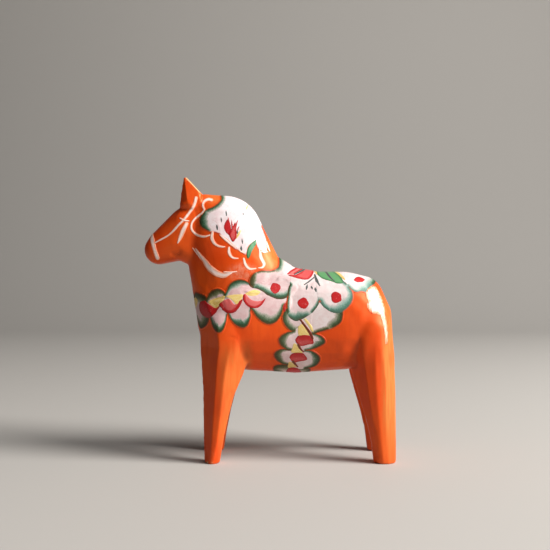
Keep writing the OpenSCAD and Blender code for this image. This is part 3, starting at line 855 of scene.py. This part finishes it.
SADDLE = [
    Petal(([[9, 83], [14, 79], [22, 77.5], [31, 79], [36, 81], [38, 88], [38, 98], [22, 98],
            [8, 100], [5.2, 96], [6, 90]],)),
    Petal(([[5, 96], [4.7, 92.5], [4.8, 90.3], [4.4, 88.4]], 1.5, 0.6),
          ([[2.4, 87.1], [-0.3, 86.8], [-2.7, 87], [-4.6, 86.5]], 0.7, 0.9),
          ([[-6.8, 85.5], [-8.3, 83.4], [-8.6, 80.9], [-7.4, 79.3]], [1.2, 2.4, 2.6, 1.6], 0.9),
          ([[-5, 78.8], [-2.3, 77.4], [-0.3, 76.1], [2.3, 74.8], [4.7, 74.1], [7.3, 74.4],
            [9.4, 75.6]], [1.4, 1.7, 2.0, 1.6], 0.4),
          ([[12, 78], [14, 84], [14, 96], [8, 100]],)),
    Petal(([[10, 80.4], [9.3, 78.9], [8.8, 75.1], [8.4, 71.2], [8.7, 68.4]], 0.8, 0.5),
          ([[9.8, 65.8], [12.2, 64.4], [14.8, 65], [17.2, 66.4]], [1.6, 2.6, 2.6, 1.4], 0.3),
          ([[19.9, 68.4], [21.9, 70.8], [23.1, 73.2], [23.6, 75.4]], 0.8, 0.3),
          ([[23.5, 82], [20, 86], [14, 86], [10.5, 84]],)),
    Petal(([[23.4, 73], [24.6, 71], [26.6, 69.4]], 1.2, 0.1),
          ([[28.4, 68.4], [30.6, 67.9], [32.8, 68.3], [35, 69.6], [36.9, 71.6], [38.1, 74.3],
            [37.9, 77], [36.7, 79.2]], [1.8, 2.8, 2.8, 1.8, 1.2], 0.1),
          ([[35, 81], [33.6, 82.4]], 0.9, 0.2),
          ([[32, 86], [28, 88], [22, 86], [22, 80], [22.6, 75]],))]
DOT_RIM = 0.7
DOT_LUMP = 0.08
DOT_POINTS = 12


def dot(x, z, half_wide, half_tall, lumps):
    """A round spot of red, uneven as a dipped stick leaves it."""
    turns = [2 * math.pi * k / DOT_POINTS for k in range(DOT_POINTS)]
    points = [[x + half_wide * math.cos(t) * (1 + DOT_LUMP * math.sin(4 * t + lumps)),
               z + half_tall * math.sin(t) * (1 + DOT_LUMP * math.sin(3 * t + 2 * lumps))] for t in turns]
    return Petal((points, DOT_RIM, 1.0))


SADDLE_DOTS = [dot(3.3, 78.9, 2.4, 2.5, 0.4), dot(15.7, 72.1, 2.55, 2.6, 2.2),
               dot(30.6, 74.7, 2.55, 2.6, 4.1)]
SADDLE_LEAF_RED = [
    Petal(([[8.2, 85], [9.8, 86.6], [11.6, 87.7], [13.8, 88.6], [16.6, 87.3], [15, 86.5],
            [12.4, 85]], 0.9, 0.35)),
    Petal(([[9, 84.6], [13.4, 83], [17.6, 82.5], [19.6, 83.7], [20.8, 85.6], [21.6, 89],
            [18, 89], [15, 86.4], [12.4, 84.9]], 0.9, 0.7))]
SADDLE_LEAF_GREEN = [Petal(
    ([[22.2, 90], [22.4, 86.2], [22.7, 84.6], [24.2, 83.2], [26.1, 82.4], [28.8, 81.7], [31.1, 80.8],
      [33.8, 81], [33.4, 83.2], [31.8, 85.2], [30, 87], [27, 90]], 1.0, 0.2))]
SADDLE_YELLOW = [
    Stroke([[21.2, 87.6], [21.9, 86.4], [22.3, 84.9]], [0.6, 1.1, 0.4]),
    Stroke([[30.6, 86.8], [32.4, 85.2], [34, 83.6], [34.8, 82.6]], [0.5, 1.0, 0.9, 0.3])]
SADDLE_DASHES = [
    Stroke([[21.3, 84.7], [22.1, 82.2], [23.3, 79.9]], [0.6, 1.3, 0.5]),
    Stroke([[21.2, 83.8], [18.6, 81.8], [16.4, 80.4]], [0.3, 0.6, 0.4]),
    dab([17.5, 79.3], 1.0, 1.9, 0.3),
    dab([19.7, 79.1], 0.9, 1.2, -0.4),
    dab([21.4, 78.2], 1.1, 1.4, -0.3),
    Stroke([[26.6, 86.2], [28.1, 83.8], [30, 82]], [0.9, 0.9, 0.3]),
    Stroke([[12, 84.9], [14.2, 86], [16.8, 87.2]], [0.3, 0.6, 0.5])]
RUMP_PETAL = [Petal(
    ([[34.6, 81], [36.3, 79.2], [38.4, 77.4], [40.4, 77], [42, 77.4]], 0.9, 0.1),
    ([[43.4, 77], [45.8, 76.6], [46.4, 78], [46.8, 79.4]], 2.3, 0.0),
    ([[48.2, 80.2], [49.4, 81.2], [50.2, 83]], 2.0, 0.5),
    ([[52, 90], [36, 92]],))]
RUMP_DOT = [dot(41.5, 82.6, 2.6, 1.35, 1.3)]
TAIL = [
    Petal(([[44, 77.2], [46.4, 79.6], [48.8, 79.6], [50.6, 77.2], [51.9, 74], [52.8, 70.6], [52.8, 67.4],
            [50.6, 66.6], [48.6, 67.2], [46.6, 67.4], [44.8, 69], [44.2, 71.6], [44.9, 73],
            [44, 74.8]],)),
    Stroke([[50.4, 73], [51.3, 69.4], [51.9, 66], [52.6, 62.4], [52.9, 58.6], [53, 54.2]],
           [2.6, 2.8, 2.5, 2.4, 2.2, 1.0])]

# ---------- the ornament: skirt and girth ----------

SKIRT = [
    Petal(([[33.5, 70.5], [33.6, 68], [33.4, 65.5], [32.4, 63.3], [30, 61.5]], 2.2, 0.75),
          ([[26.5, 60.2], [22.6, 59], [20.3, 58]], 1.1, 0.85),
          ([[12, 58], [13, 66], [20, 72], [30, 73]],)),
    Petal(([[8.2, 70], [7, 68.4], [6.3, 66.5], [6.5, 64], [7.6, 61.9], [9.2, 60.2], [10.7, 59.2],
            [12.4, 58.6]], 2.0, 0.75),
          ([[17, 58], [19, 62], [19, 70], [12, 72]],))]
GIRTH = [
    Petal(([[8, 44.6], [6, 44.5], [4, 44.3], [2.5, 43.5], [2, 42], [2.6, 40.4], [4.2, 39], [5, 37]],
           2.0, 0.9),
          ([[5, 34], [17, 34]],),
          ([[17.6, 37], [18.4, 39], [19.6, 41], [19, 42.5], [17.5, 43.2], [15.8, 43.4]], 1.8, 0.9),
          ([[12, 44.6], [10, 45]],)),
    Petal(([[9.5, 52], [7.5, 51.9], [5.5, 51.7], [3.7, 50.9], [2.6, 49.5], [2.6, 47.9], [3.7, 46.3],
            [5.3, 45], [7, 44.2], [9, 43.9]], [0.7, 1.0, 2.4, 2.9, 2.4, 1.2, 0.8], 0.85),
          ([[12, 42.5], [15, 42.2]],),
          ([[17, 42.3], [18.9, 42.5], [21, 43.1], [22.7, 44.4], [23.6, 46.3], [23.4, 48.1],
            [21.9, 49.6], [20, 50.7], [18, 51.2], [16.5, 51.4]],
           [0.7, 1.2, 2.4, 2.8, 2.2, 1.0, 0.7], 0.7),
          ([[14, 53], [11.5, 53]],)),
    Petal(([[11.5, 59.8], [9.5, 59.6], [7.5, 58.9], [5.7, 57.8], [4.7, 56.4], [4.7, 54.8],
            [5.5, 53.2], [7, 51.9], [8.6, 51.1], [10.5, 50.9]],
           [0.7, 1.2, 2.4, 2.8, 2.4, 1.2, 0.7], 0.8),
          ([[13, 50], [15.5, 50]],),
          ([[17, 50.9], [19.5, 51.2], [21.8, 52], [23.8, 52.9], [25.4, 54], [25.8, 55.2],
            [25.1, 56.6], [23.5, 57.8], [21.7, 58.5], [20, 58.8]],
           [0.7, 1.0, 2.0, 2.4, 1.8, 1.0, 0.7], 0.7),
          ([[18, 60], [14, 61]],))]
GIRTH_RED = [
    Petal(([[12.2, 56.2], [13.2, 57.4], [14.8, 57.9], [17, 58], [18.8, 57.6], [20, 56.9], [20.5, 55.2],
            [20.3, 53.9]], 0.9, 1.0),
          ([[18, 53.5], [15.9, 52.9], [14.4, 52.9], [13, 54], [12.1, 55.2]], 0.7, 0.75)),
    Petal(([[9.5, 47.7], [10.4, 49.2], [12.3, 49.8], [15.5, 49.7], [16.9, 48.6], [17.8, 46.8]],
           0.9, 1.0),
          ([[16.5, 46], [14.2, 45.6], [12, 45.2], [10.5, 46]], 0.7, 0.75)),
    Petal(([[8.1, 40.6], [9, 42.3], [11, 42.9], [13.5, 42.4], [15.1, 40.8], [15.4, 39]], 0.9, 1.0),
          ([[14, 35], [9, 35], [7.8, 38.6]],))]
GIRTH_YELLOW = [
    Petal(([[13.3, 61], [14, 62.2], [15.3, 62.9], [17.2, 60.4], [18.8, 58], [16, 57.6],
            [13.6, 57.6]], 0.9, 0.2)),
    Petal(([[16, 64.8], [17, 65.2], [18.4, 63.8], [19.9, 61.4], [20.3, 59.4], [19.2, 60],
            [17.6, 62.4]], 1.2, 0.0)),
    Petal(([[11.5, 54.2], [10.8, 52.2], [10.4, 50], [13, 49.8], [15.6, 49.9], [14.2, 51.8],
            [12.8, 53.8]], 0.9, 0.3)),
    Petal(([[9.4, 45.7], [9, 44.3], [9.1, 42.6], [11.5, 42.8], [13.7, 43.2], [12.2, 44.2],
            [11, 45.4]], 0.9, 0.6))]
GIRTH_LINE = [
    Stroke([[14.5, 64.7], [15.8, 63], [17.4, 60.9], [19, 58.6], [19.9, 56.4]],
           [0.6, 0.9, 0.9, 1.1, 0.9]),
    Stroke([[13.7, 53.4], [14.4, 51.9], [15.9, 50.4]], [1.1, 0.8, 0.4]),
    Stroke([[11.4, 45.7], [12.2, 44.6], [13.4, 43.2]], [1.0, 0.8, 0.4])]

# Each piece: its name, its CAD node and its shapes, from the lowest to the topmost
MANE_PIECES = {"mane_paint": ("mane_patch", MANE)}
WHITE_PIECES = {
    "chest_lower_paint": ("chest_scallops_lower", CHEST_LOWER),
    "chest_upper_paint": ("chest_scallops_upper", CHEST_UPPER),
    "skirt_paint": ("skirt_petals", SKIRT),
    "girth_paint": ("girth_petals", GIRTH),
    "rump_paint": ("rump_petal", RUMP_PETAL),
    "saddle_paint": ("saddle_petals", SADDLE),
}
TAIL_PIECES = {"tail_paint": ("tail_stroke", TAIL)}
CREAM_PIECES = {
    "noseband_paint": ("noseband_line", NOSEBAND),
    "cheek_line_paint": ("cheek_line", CHEEK_LINE),
    "cheek_dash_paint": ("cheek_dash", CHEEK_DASH),
    "brow_curl_paint": ("brow_curl", BROW_CURL),
    "neck_curl_paint": ("neck_curls", NECK_CURLS),
    "rein_paint": ("rein_stroke", REIN),
    "withers_curl_paint": ("withers_curl", WITHERS_CURL),
    "mane_cream_paint": ("mane_patch", MANE_CREAM),
}
YELLOW_PIECES = {
    "mane_yellow_paint": ("mane_patch", MANE_YELLOW),
    "saddle_yellow_paint": ("saddle_petals", SADDLE_YELLOW),
    "chest_yellow_paint": ("chest_yellow_wedges", CHEST_YELLOW),
    "girth_yellow_paint": ("girth_yellow_wedges", GIRTH_YELLOW),
}
RED_PIECES = {
    "mane_leaf_red_paint": ("mane_leaf_red", MANE_LEAF_RED),
    "chest_red_paint": ("chest_red_scallops", CHEST_RED),
    "saddle_leaf_red_paint": ("saddle_leaf_red", SADDLE_LEAF_RED),
    "saddle_dot_paint": ("saddle_red_dots", SADDLE_DOTS),
    "rump_dot_paint": ("rump_dot", RUMP_DOT),
    "girth_red_paint": ("girth_red_crescents", GIRTH_RED),
}
GREEN_PIECES = {
    "mane_leaf_green_paint": ("mane_leaf_green", MANE_LEAF_GREEN),
    "saddle_leaf_green_paint": ("saddle_leaf_green", SADDLE_LEAF_GREEN),
}
MAROON_PIECES = {"girth_line_paint": ("girth_line", GIRTH_LINE)}
GREY_PIECES = {
    "mane_seed_paint": ("mane_seed_marks", SEED_MARKS),
    "saddle_dash_paint": ("saddle_dashes", SADDLE_DASHES),
}


# ---------- materials ----------

def rgb(red, green, blue):
    """A colour given in everyday 0-255 values, as the shader wants it."""
    linear = [(v / 255) / 12.92 if v <= 10 else ((v / 255 + 0.055) / 1.055) ** 2.4
              for v in (red, green, blue)]
    return (*linear, 1.0)


class Shader:
    """A material whose nodes are made by short calls, each of which returns a socket."""

    def __init__(self, name, roughness, specular, coat, coat_roughness):
        self.material = bpy.data.materials.new(name)
        self.material.use_nodes = True
        self.tree = self.material.node_tree
        self.surface = self.tree.nodes["Principled BSDF"]
        self.surface.inputs["Roughness"].default_value = roughness
        self.surface.inputs["Specular IOR Level"].default_value = specular
        self.surface.inputs["Coat Weight"].default_value = coat
        self.surface.inputs["Coat Roughness"].default_value = coat_roughness
        place = self.node("TexCoord").outputs["Object"]
        self.place = self.scaled(place, (1 / MM, 1 / MM, 1 / MM))

    def put(self, socket, value):
        if isinstance(value, bpy.types.NodeSocket):
            self.tree.links.new(value, socket)
        else:
            socket.default_value = value

    def node(self, kind, *values):
        """A new node with its first inputs filled in. None leaves an input as it is."""
        node = self.tree.nodes.new("ShaderNode" + kind)
        for socket, value in zip(node.inputs, values):
            if value is not None:
                self.put(socket, value)
        return node

    def scaled(self, vector, scale):
        node = self.node("VectorMath", vector, scale)
        node.operation = "MULTIPLY"
        return node.outputs[0]

    def mark(self, name):
        """A point attribute of the mesh."""
        node = self.node("Attribute")
        node.attribute_name = name
        return node.outputs["Fac"]

    def vector(self, a, b, c):
        return self.node("CombineXYZ", a, b, c).outputs[0]

    def axis(self, letter):
        """X, Y or Z of the shaded spot, in millimetres."""
        return self.node("SeparateXYZ", self.place).outputs[letter]

    def away_from(self, centre, reach):
        """Distance from an upright oval round a spot: 0 at the spot, 1 on the oval."""
        rel = self.node("VectorMath", self.place, (centre[0], 0, centre[1]))
        rel.operation = "SUBTRACT"
        length = self.node("VectorMath", self.scaled(rel.outputs[0], (1 / reach[0], 0, 1 / reach[1])))
        length.operation = "LENGTH"
        return length.outputs["Value"]

    def noise(self, vector, scale, detail, rough=0.5):
        return self.node("TexNoise", vector, None, scale, detail, rough).outputs["Fac"]

    def stretched(self, across, up, detail, rough):
        """A noise with one scale across the block and another up it."""
        return self.noise(self.scaled(self.place, (across, across, up)), 1.0, detail, rough)

    def maths(self, operation, a, b):
        node = self.node("Math", a, b)
        node.operation = operation
        return node.outputs[0]

    def swing(self, noise, size):
        """A noise moved down to swing round 0."""
        return self.maths("MULTIPLY", self.maths("SUBTRACT", noise, 0.5), size)

    def uneven(self, value, noise, size):
        """value with a noise swinging round it."""
        return self.maths("ADD", value, self.swing(noise, size))

    def span(self, value, low, high, start=0.0, end=1.0):
        """value mapped smoothly from low..high to start..end."""
        node = self.node("MapRange", value, low, high, start, end)
        node.interpolation_type = "SMOOTHSTEP"
        return node.outputs[0]

    def ramp(self, value, stops):
        node = self.node("ValToRGB", value)
        elements = node.color_ramp.elements
        while len(elements) < len(stops):
            elements.new(0.5)
        for element, (place, colour) in zip(elements, stops):
            element.position = place
            element.color = colour
        return node.outputs[0]

    def mix(self, share, a, b):
        """From colour a to colour b by share."""
        node = self.tree.nodes.new("ShaderNodeMix")
        node.data_type = "RGBA"
        first_colour, second_colour, mixed_colour = 6, 7, 2
        self.put(node.inputs["Factor"], share)
        self.put(node.inputs[first_colour], a)
        self.put(node.inputs[second_colour], b)
        return node.outputs[mixed_colour]

    def bump(self, height, strength, distance_mm, normal=None):
        node = self.tree.nodes.new("ShaderNodeBump")
        node.inputs["Strength"].default_value = strength
        node.inputs["Distance"].default_value = distance_mm * MM
        self.put(node.inputs["Height"], height)
        if normal is not None:
            self.put(node.inputs["Normal"], normal)
        return node.outputs[0]

    def finish(self, colour, normal, roughness=None):
        self.put(self.surface.inputs["Base Color"], colour)
        self.put(self.surface.inputs["Normal"], normal)
        if roughness is not None:
            self.put(self.surface.inputs["Roughness"], roughness)
        return self.material


ORANGE = rgb(216, 66, 10)
DEEP_ORANGE = rgb(186, 42, 6)
WARM_ORANGE = rgb(226, 80, 16)
# Painted highlight: the golden orange of the faces that the key light strikes
HIGHLIGHT_GOLD = rgb(203, 118, 54)
# Partly a scuff, partly a painted sheen: the pinkish smear on the neck
SCUFF_AND_SHEEN_PINK = rgb(226, 142, 114)
# Painted shade: the browner orange of the hollows
HOLLOW_SHADE_BROWN = rgb(150, 30, 8)
RUBBED_ORANGE = rgb(240, 132, 78)
BARE_PINE = rgb(214, 170, 122)


def orange_paint(s):
    """Colour of the orange coat: brushed on thinly, so a little uneven along the grain."""
    cloud = s.noise(s.place, 0.05, 3.0)
    streak = s.stretched(0.5, 0.09, 3.0, 0.5)
    colour = s.mix(s.span(cloud, 0.35, 0.68), ORANGE, WARM_ORANGE)
    return s.mix(s.span(streak, 0.45, 0.75, 0.0, 0.22), colour, DEEP_ORANGE)


def coat_bump(s):
    """Fine relief of the coat: grain that telegraphs through, and the orange peel of thick paint."""
    grain = s.stretched(1.6, 0.13, 4.0, 0.6)
    peel = s.noise(s.place, 0.5, 2.0)
    return s.bump(peel, 0.12, 0.15, s.bump(grain, 0.12, 0.10))


def golden_highlight(s):
    """Painted highlight: a golden tint on the faces that the key light strikes: down the back of each
    leg, up the back of the haunch, behind the mane and at the poll."""
    x, z = s.axis("X"), s.axis("Z")
    fore = s.maths("MULTIPLY", s.span(x, -24, -18), s.span(x, -9, -6, 0.55, 0.0))
    fore = s.maths("MULTIPLY", fore, s.span(z, 46, 58, 1.0, 0.0))
    hind = s.maths("MULTIPLY", s.span(x, 49.5, 53.5), s.span(z, 62, 84, 1.0, 0.0))
    hind = s.maths("MULTIPLY", hind, s.span(z, 2, 26, 0.25, 0.95))
    nape = s.span(s.away_from((2.5, 94), (8, 11)), 0.3, 1.0, 0.7, 0.0)
    poll = s.span(s.away_from((-25, 121), (6, 5)), 0.3, 1.0, 0.6, 0.0)
    # thin is the share of painted golden highlight on the lit faces
    thin = s.maths("MAXIMUM", s.maths("MAXIMUM", fore, hind), s.maths("MAXIMUM", nape, poll))
    streak = s.stretched(1.1, 0.07, 3.0, 0.5)
    return s.maths("MULTIPLY", thin, s.span(streak, 0.35, 0.6, 0.6, 1.0))


def neck_scuff_and_sheen(s):
    """The pinkish smear between the rein and the petals: partly a scuff in the paint, partly a painted
    sheen.
    """
    patch = s.span(s.away_from((-11.5, 86), (9, 5.5)), 0.4, 1.0, 1.0, 0.0)
    patchy = s.span(s.stretched(0.6, 0.4, 5.0, 0.72), 0.36, 0.66, 0.05, 0.7)
    return s.maths("MULTIPLY", patch, patchy)


def block_material():
    """Orange paint with a painted golden highlight on the lit faces and painted shade in the hollows,
    rubbed light on the edges and down to the wood in places.
    """
    s = Shader("orange_painted_pine", 0.46, 0.75, 0.02, 0.3)
    s.surface.inputs["Specular Tint"].default_value = (1.0, 0.62, 0.3, 1.0)
    # Painted highlight: golden orange on the faces that the key light strikes
    colour = s.mix(golden_highlight(s), orange_paint(s), HIGHLIGHT_GOLD)
    # Scuff and painted sheen: a pinkish smear on the neck
    colour = s.mix(neck_scuff_and_sheen(s), colour, SCUFF_AND_SHEEN_PINK)
    # Painted shade: browner where the surface dips in
    colour = s.mix(s.maths("MULTIPLY", s.mark("hollow_shade"), 0.45), colour, HOLLOW_SHADE_BROWN)
    rub = s.maths("MULTIPLY", s.mark("edge"), s.span(s.noise(s.place, 0.55, 5.0, 0.7), 0.45, 0.7))
    colour = s.mix(s.maths("MULTIPLY", rub, 0.45), colour, RUBBED_ORANGE)
    chip = s.span(s.maths("ADD", s.mark("edge"), s.noise(s.place, 0.9, 5.0, 0.75)), 1.5, 1.6)
    rubbed = s.span(s.maths("ADD", s.mark("worn"), s.noise(s.place, 1.4, 4.0, 0.7)), 0.85, 1.15)
    colour = s.mix(s.maths("MAXIMUM", chip, rubbed), colour, BARE_PINE)
    return s.finish(colour, coat_bump(s), s.span(s.noise(s.place, 0.2, 3.0), 0.3, 0.7, 0.42, 0.56))


def brush_streaks(s, fine, slow, offset=0.0):
    """Streaks that run along the brush's own path."""
    along = s.maths("MULTIPLY", s.mark("along"), slow)
    across = s.maths("MULTIPLY", s.mark("depth"), fine)
    return s.noise(s.vector(along, across, offset), 1.0, 3.0, 0.6)


def paint_bump(s):
    """Fine relief of painted ornament: the brush's streaks on small lumps."""
    lumps = s.bump(s.noise(s.place, 1.1, 2.0), 0.2, 0.08)
    return s.bump(brush_streaks(s, 3.4, 0.3, 4.0), 0.35, 0.12, lumps)


def soft_edge(s, colour):
    """The coat thins out to the orange ground over the last part of a millimetre."""
    depth = s.uneven(s.mark("fade"), s.noise(s.place, 1.3, 4.0, 0.6), 0.7)
    return s.mix(s.span(depth, 0.0, 0.9), orange_paint(s), colour)


# Cloudy whites, from the dullest to the cleanest: each in the pinkish front part of the horse and
# in the back part
PETAL_WHITES = [(rgb(202, 162, 164), rgb(220, 199, 199)),
                (rgb(209, 177, 177), rgb(226, 210, 209)),
                (rgb(214, 193, 192), rgb(230, 220, 220))]
MANE_WHITES = [(rgb(226, 202, 206), rgb(210, 200, 210)),
               (rgb(232, 216, 218), rgb(218, 214, 220)),
               (rgb(236, 228, 232), rgb(224, 227, 232))]

# The green edge from its rim inwards, for each of the three tones
TEAL_RIM = [(0.02, rgb(72, 100, 84)), (0.28, rgb(84, 128, 112)), (0.5, rgb(142, 170, 160)),
            (0.9, rgb(216, 200, 198))]
GREEN_RIM = [(0.02, rgb(72, 58, 22)), (0.18, rgb(34, 66, 36)), (0.38, rgb(66, 104, 78)),
             (0.6, rgb(146, 160, 146)), (0.92, rgb(216, 196, 194))]
BROWN_RIM = [(0.02, rgb(94, 54, 16)), (0.22, rgb(58, 58, 26)), (0.46, rgb(90, 94, 60)),
             (0.68, rgb(150, 140, 120)), (0.95, rgb(212, 190, 186))]


def white_green_material(name, whites):
    """Petals from a brush loaded with white on one side and green on the other."""
    s = Shader(name, 0.5, 0.35, 0.05, 0.3)
    streak = brush_streaks(s, 2.6, 0.22)
    cloud = s.noise(s.place, 0.28, 4.0, 0.6)
    fore, aft = (s.ramp(cloud, list(zip((0.3, 0.5, 0.7), column))) for column in zip(*whites))
    white = s.mix(s.span(s.axis("X"), -4, 28), fore, aft)
    white = s.mix(s.span(streak, 0.52, 0.76, 0.0, 0.6), white, rgb(210, 172, 172))
    speck = s.stretched(2.6, 1.1, 4.0, 0.7)
    white = s.mix(s.span(speck, 0.62, 0.74, 0.0, 0.3), white, rgb(170, 140, 140))
    rim = s.maths("MULTIPLY", s.uneven(s.mark("rim"), streak, 0.35), 0.5)
    rim = s.uneven(rim, speck, 0.6)
    tone = s.mark("tone")
    edge = s.mix(s.span(tone, 0.1, 0.5), s.ramp(rim, TEAL_RIM), s.ramp(rim, GREEN_RIM))
    edge = s.mix(s.span(tone, 0.5, 0.95), edge, s.ramp(rim, BROWN_RIM))
    colour = s.mix(s.span(rim, 0.75, 1.0), edge, white)
    return s.finish(soft_edge(s, colour), paint_bump(s))


def cream_material():
    """Thin bridle strokes: white paint that lets some orange through."""
    s = Shader("cream_line_paint", 0.5, 0.35, 0.04, 0.3)
    thick = s.uneven(s.mark("rim"), brush_streaks(s, 3.2, 0.2), 1.3)
    colour = s.ramp(thick, [(0.0, rgb(234, 120, 76)), (0.2, rgb(240, 158, 124)),
                            (0.45, rgb(244, 194, 174)), (0.8, rgb(244, 222, 216))])
    return s.finish(s.mix(s.span(thick, -0.4, 0.05), orange_paint(s), colour), paint_bump(s))


def red_material():
    """Red that is darkest at its rim, and from pink to red inside by the stroke's tone."""
    s = Shader("red_paint", 0.45, 0.4, 0.06, 0.25)
    streak = brush_streaks(s, 1.6, 0.25)
    middle = s.mix(s.mark("tone"), rgb(226, 132, 128), rgb(186, 30, 32))
    rim = s.uneven(s.mark("rim"), streak, 0.8)
    colour = s.mix(s.span(rim, 0.7, 1.3), rgb(178, 26, 28), middle)
    colour = s.mix(s.span(rim, 0.0, 0.5, 0.75, 0.0), colour, rgb(126, 14, 14))
    colour = s.mix(s.span(streak, 0.62, 0.75, 0.0, 0.4), colour, rgb(226, 110, 104))
    speck = s.stretched(1.3, 0.8, 4.0, 0.75)
    colour = s.mix(s.span(speck, 0.58, 0.72, 0.0, 0.6), colour, rgb(226, 150, 148))
    return s.finish(colour, paint_bump(s))


def green_material():
    s = Shader("green_paint", 0.4, 0.5, 0.1, 0.25)
    rim = s.uneven(s.mark("rim"), brush_streaks(s, 1.5, 0.3), 1.0)
    light = s.mix(s.mark("tone"), rgb(104, 160, 104), rgb(52, 128, 92))
    colour = s.mix(s.span(rim, 0.0, 1.1), rgb(40, 98, 58), light)
    return s.finish(colour, paint_bump(s))


def yellow_material():
    s = Shader("yellow_paint", 0.42, 0.5, 0.08, 0.25)
    deep = s.mix(s.mark("tone"), rgb(232, 200, 112), rgb(190, 146, 44))
    colour = s.mix(s.span(brush_streaks(s, 2.0, 0.3), 0.35, 0.7), deep, rgb(236, 214, 150))
    return s.finish(colour, paint_bump(s))


def plain_paint(name, dark, light):
    """Small one-coat marks whose edges are a little lighter where the paint is thin."""
    s = Shader(name, 0.42, 0.5, 0.08, 0.25)
    rim = s.uneven(s.mark("rim"), brush_streaks(s, 2.4, 0.3), 0.9)
    colour = s.mix(s.span(rim, 0.0, 0.6), light, dark)
    return s.finish(colour, paint_bump(s))


def tail_material():
    """White pulled out thin with a nearly dry brush, so that it breaks into upright streaks."""
    s = Shader("white_paint", 0.45, 0.4, 0.05, 0.3)
    streak = s.stretched(1.5, 0.16, 4.0, 0.6)
    broken = s.stretched(1.2, 0.7, 5.0, 0.7)
    cover = s.maths("ADD", s.mark("fade"), s.uneven(s.swing(streak, 3.6), broken, 2.0))
    white = s.ramp(s.noise(s.place, 0.4, 4.0), [(0.35, rgb(228, 200, 190)), (0.65, rgb(228, 220, 216))])
    colour = s.mix(s.span(cover, -0.3, 0.7), orange_paint(s), rgb(232, 146, 98))
    return s.finish(s.mix(s.span(cover, 0.3, 1.9), colour, white), paint_bump(s))


# ---------- stage, light and camera ----------

def stage():
    """A pale floor that curves up behind the horse. Its sizes are in metres."""
    width, front, back, rise, bend, bend_points = 6.0, -2.0, 1.6, 2.6, 0.7, 17
    turns = np.linspace(0, math.pi / 2, bend_points)
    curve = [(back - bend + bend * math.sin(t), bend - bend * math.cos(t)) for t in turns]
    profile = [(front, 0.0)] + curve + [(back, rise)]
    vertices = [(x, y, z) for y, z in profile for x in (-width / 2, width / 2)]
    faces = [(2 * k, 2 * k + 1, 2 * k + 3, 2 * k + 2) for k in range(len(profile) - 1)]
    mesh = bpy.data.meshes.new("studio_floor")
    mesh.from_pydata(vertices, [], faces)
    mesh.shade_smooth()
    floor = bpy.data.objects.new("studio_floor", mesh)
    bpy.context.scene.collection.objects.link(floor)
    material = bpy.data.materials.new("studio_floor")
    material.use_nodes = True
    surface = material.node_tree.nodes["Principled BSDF"]
    surface.inputs["Base Color"].default_value = rgb(176, 173, 169)
    surface.inputs["Roughness"].default_value = 0.7
    mesh.materials.append(material)


def aim(thing, target):
    """Turns a lamp so that it shines at the target."""
    direction = np.array(target) - np.array(thing.location)
    flat = math.hypot(direction[0], direction[1])
    thing.rotation_euler = (math.atan2(flat, -direction[2]), 0, math.atan2(-direction[0], direction[1]))


def area_light(name, place, size, power, colour):
    light = bpy.data.lights.new(name, "AREA")
    light.shape = "DISK"
    light.size = size
    light.energy = power
    light.color = colour
    lamp = bpy.data.objects.new(name, light)
    lamp.location = place
    bpy.context.scene.collection.objects.link(lamp)
    aim(lamp, (MIDDLE_X, 0, HEIGHT / 2))


def lights():
    area_light("key", (1.25, -0.49, 0.92), 0.8, 51.0, (1.0, 0.97, 0.93))
    area_light("top", (0.5, -0.45, 1.5), 1.0, 9.0, (1.0, 0.98, 0.96))
    world = bpy.data.worlds.new("studio")
    bpy.context.scene.world = world
    world.use_nodes = True
    world.node_tree.nodes["Background"].inputs["Color"].default_value = rgb(214, 214, 216)
    world.node_tree.nodes["Background"].inputs["Strength"].default_value = 0.035


# The camera is level, 3.6 horse lengths away, a little nearer to the tail than to the muzzle
CAMERA_AWAY = 413.8 * MM
CAMERA_HEIGHT = 84.8 * MM
CAMERA_X = 3.1 * MM
LENS = 57.78                # focal length and sensor width, in millimetres
SENSOR = 36


def camera():
    data = bpy.data.cameras.new("camera")
    data.lens = LENS
    data.sensor_width = SENSOR
    eye = bpy.data.objects.new("camera", data)
    eye.location = (CAMERA_X, -CAMERA_AWAY, CAMERA_HEIGHT)
    eye.rotation_euler = (math.pi / 2, 0, 0)
    bpy.context.scene.collection.objects.link(eye)
    bpy.context.scene.camera = eye
    bpy.context.scene.view_settings.view_transform = "Standard"


# ---------- putting it together ----------

def place(piece, node, slot, material):
    """Puts a piece on the horse in the place of its CAD node."""
    piece.data.materials.clear()
    piece.data.materials.append(material)
    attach(piece, "root")
    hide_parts(node)


camera()
lights()
stage()

block, block_co, block_quads, block_edges = block_mesh()
ground = Ground(block_co, block_quads)
mark_edge_wear_and_hollow_shade(block.data, block_co, block_edges, ground.normals)
mark_worn(block.data, refine_ears(block.data))
place(block, "carved_body", "orange_painted_pine", block_material())

white_shapes = [shape for pieces in (MANE_PIECES, WHITE_PIECES) for _, shapes in pieces.values()
                for shape in shapes]
for shape in white_shapes:
    shape.bleed = BLEED

mane_white = white_green_material("mane_white_paint", MANE_WHITES)
petal_white = white_green_material("petal_white_paint", PETAL_WHITES)
maroon = plain_paint("maroon_paint", rgb(104, 34, 10), rgb(140, 60, 24))
grey = plain_paint("grey_paint", rgb(70, 76, 74), rgb(140, 140, 138))

# From the lowest coat to the topmost: the pieces, their slot and material, and the shapes at
# whose edge their paint thins out
families = [
    (MANE_PIECES, "white_green_paint", mane_white, white_shapes),
    (WHITE_PIECES, "white_green_paint", petal_white, white_shapes),
    (TAIL_PIECES, "white_paint", tail_material(), TAIL),
    (CREAM_PIECES, "cream_line_paint", cream_material(), []),
    (YELLOW_PIECES, "yellow_paint", yellow_material(), []),
    (RED_PIECES, "red_paint", red_material(), []),
    (GREEN_PIECES, "green_paint", green_material(), []),
    (MAROON_PIECES, "maroon_paint", maroon, []),
    (GREY_PIECES, "grey_paint", grey, []),
]
laid = []
for pieces, slot, material, fading in families:
    for name, (node, shapes) in pieces.items():
        place(lay_paint(ground, name, shapes, laid, fading), node, slot, material)
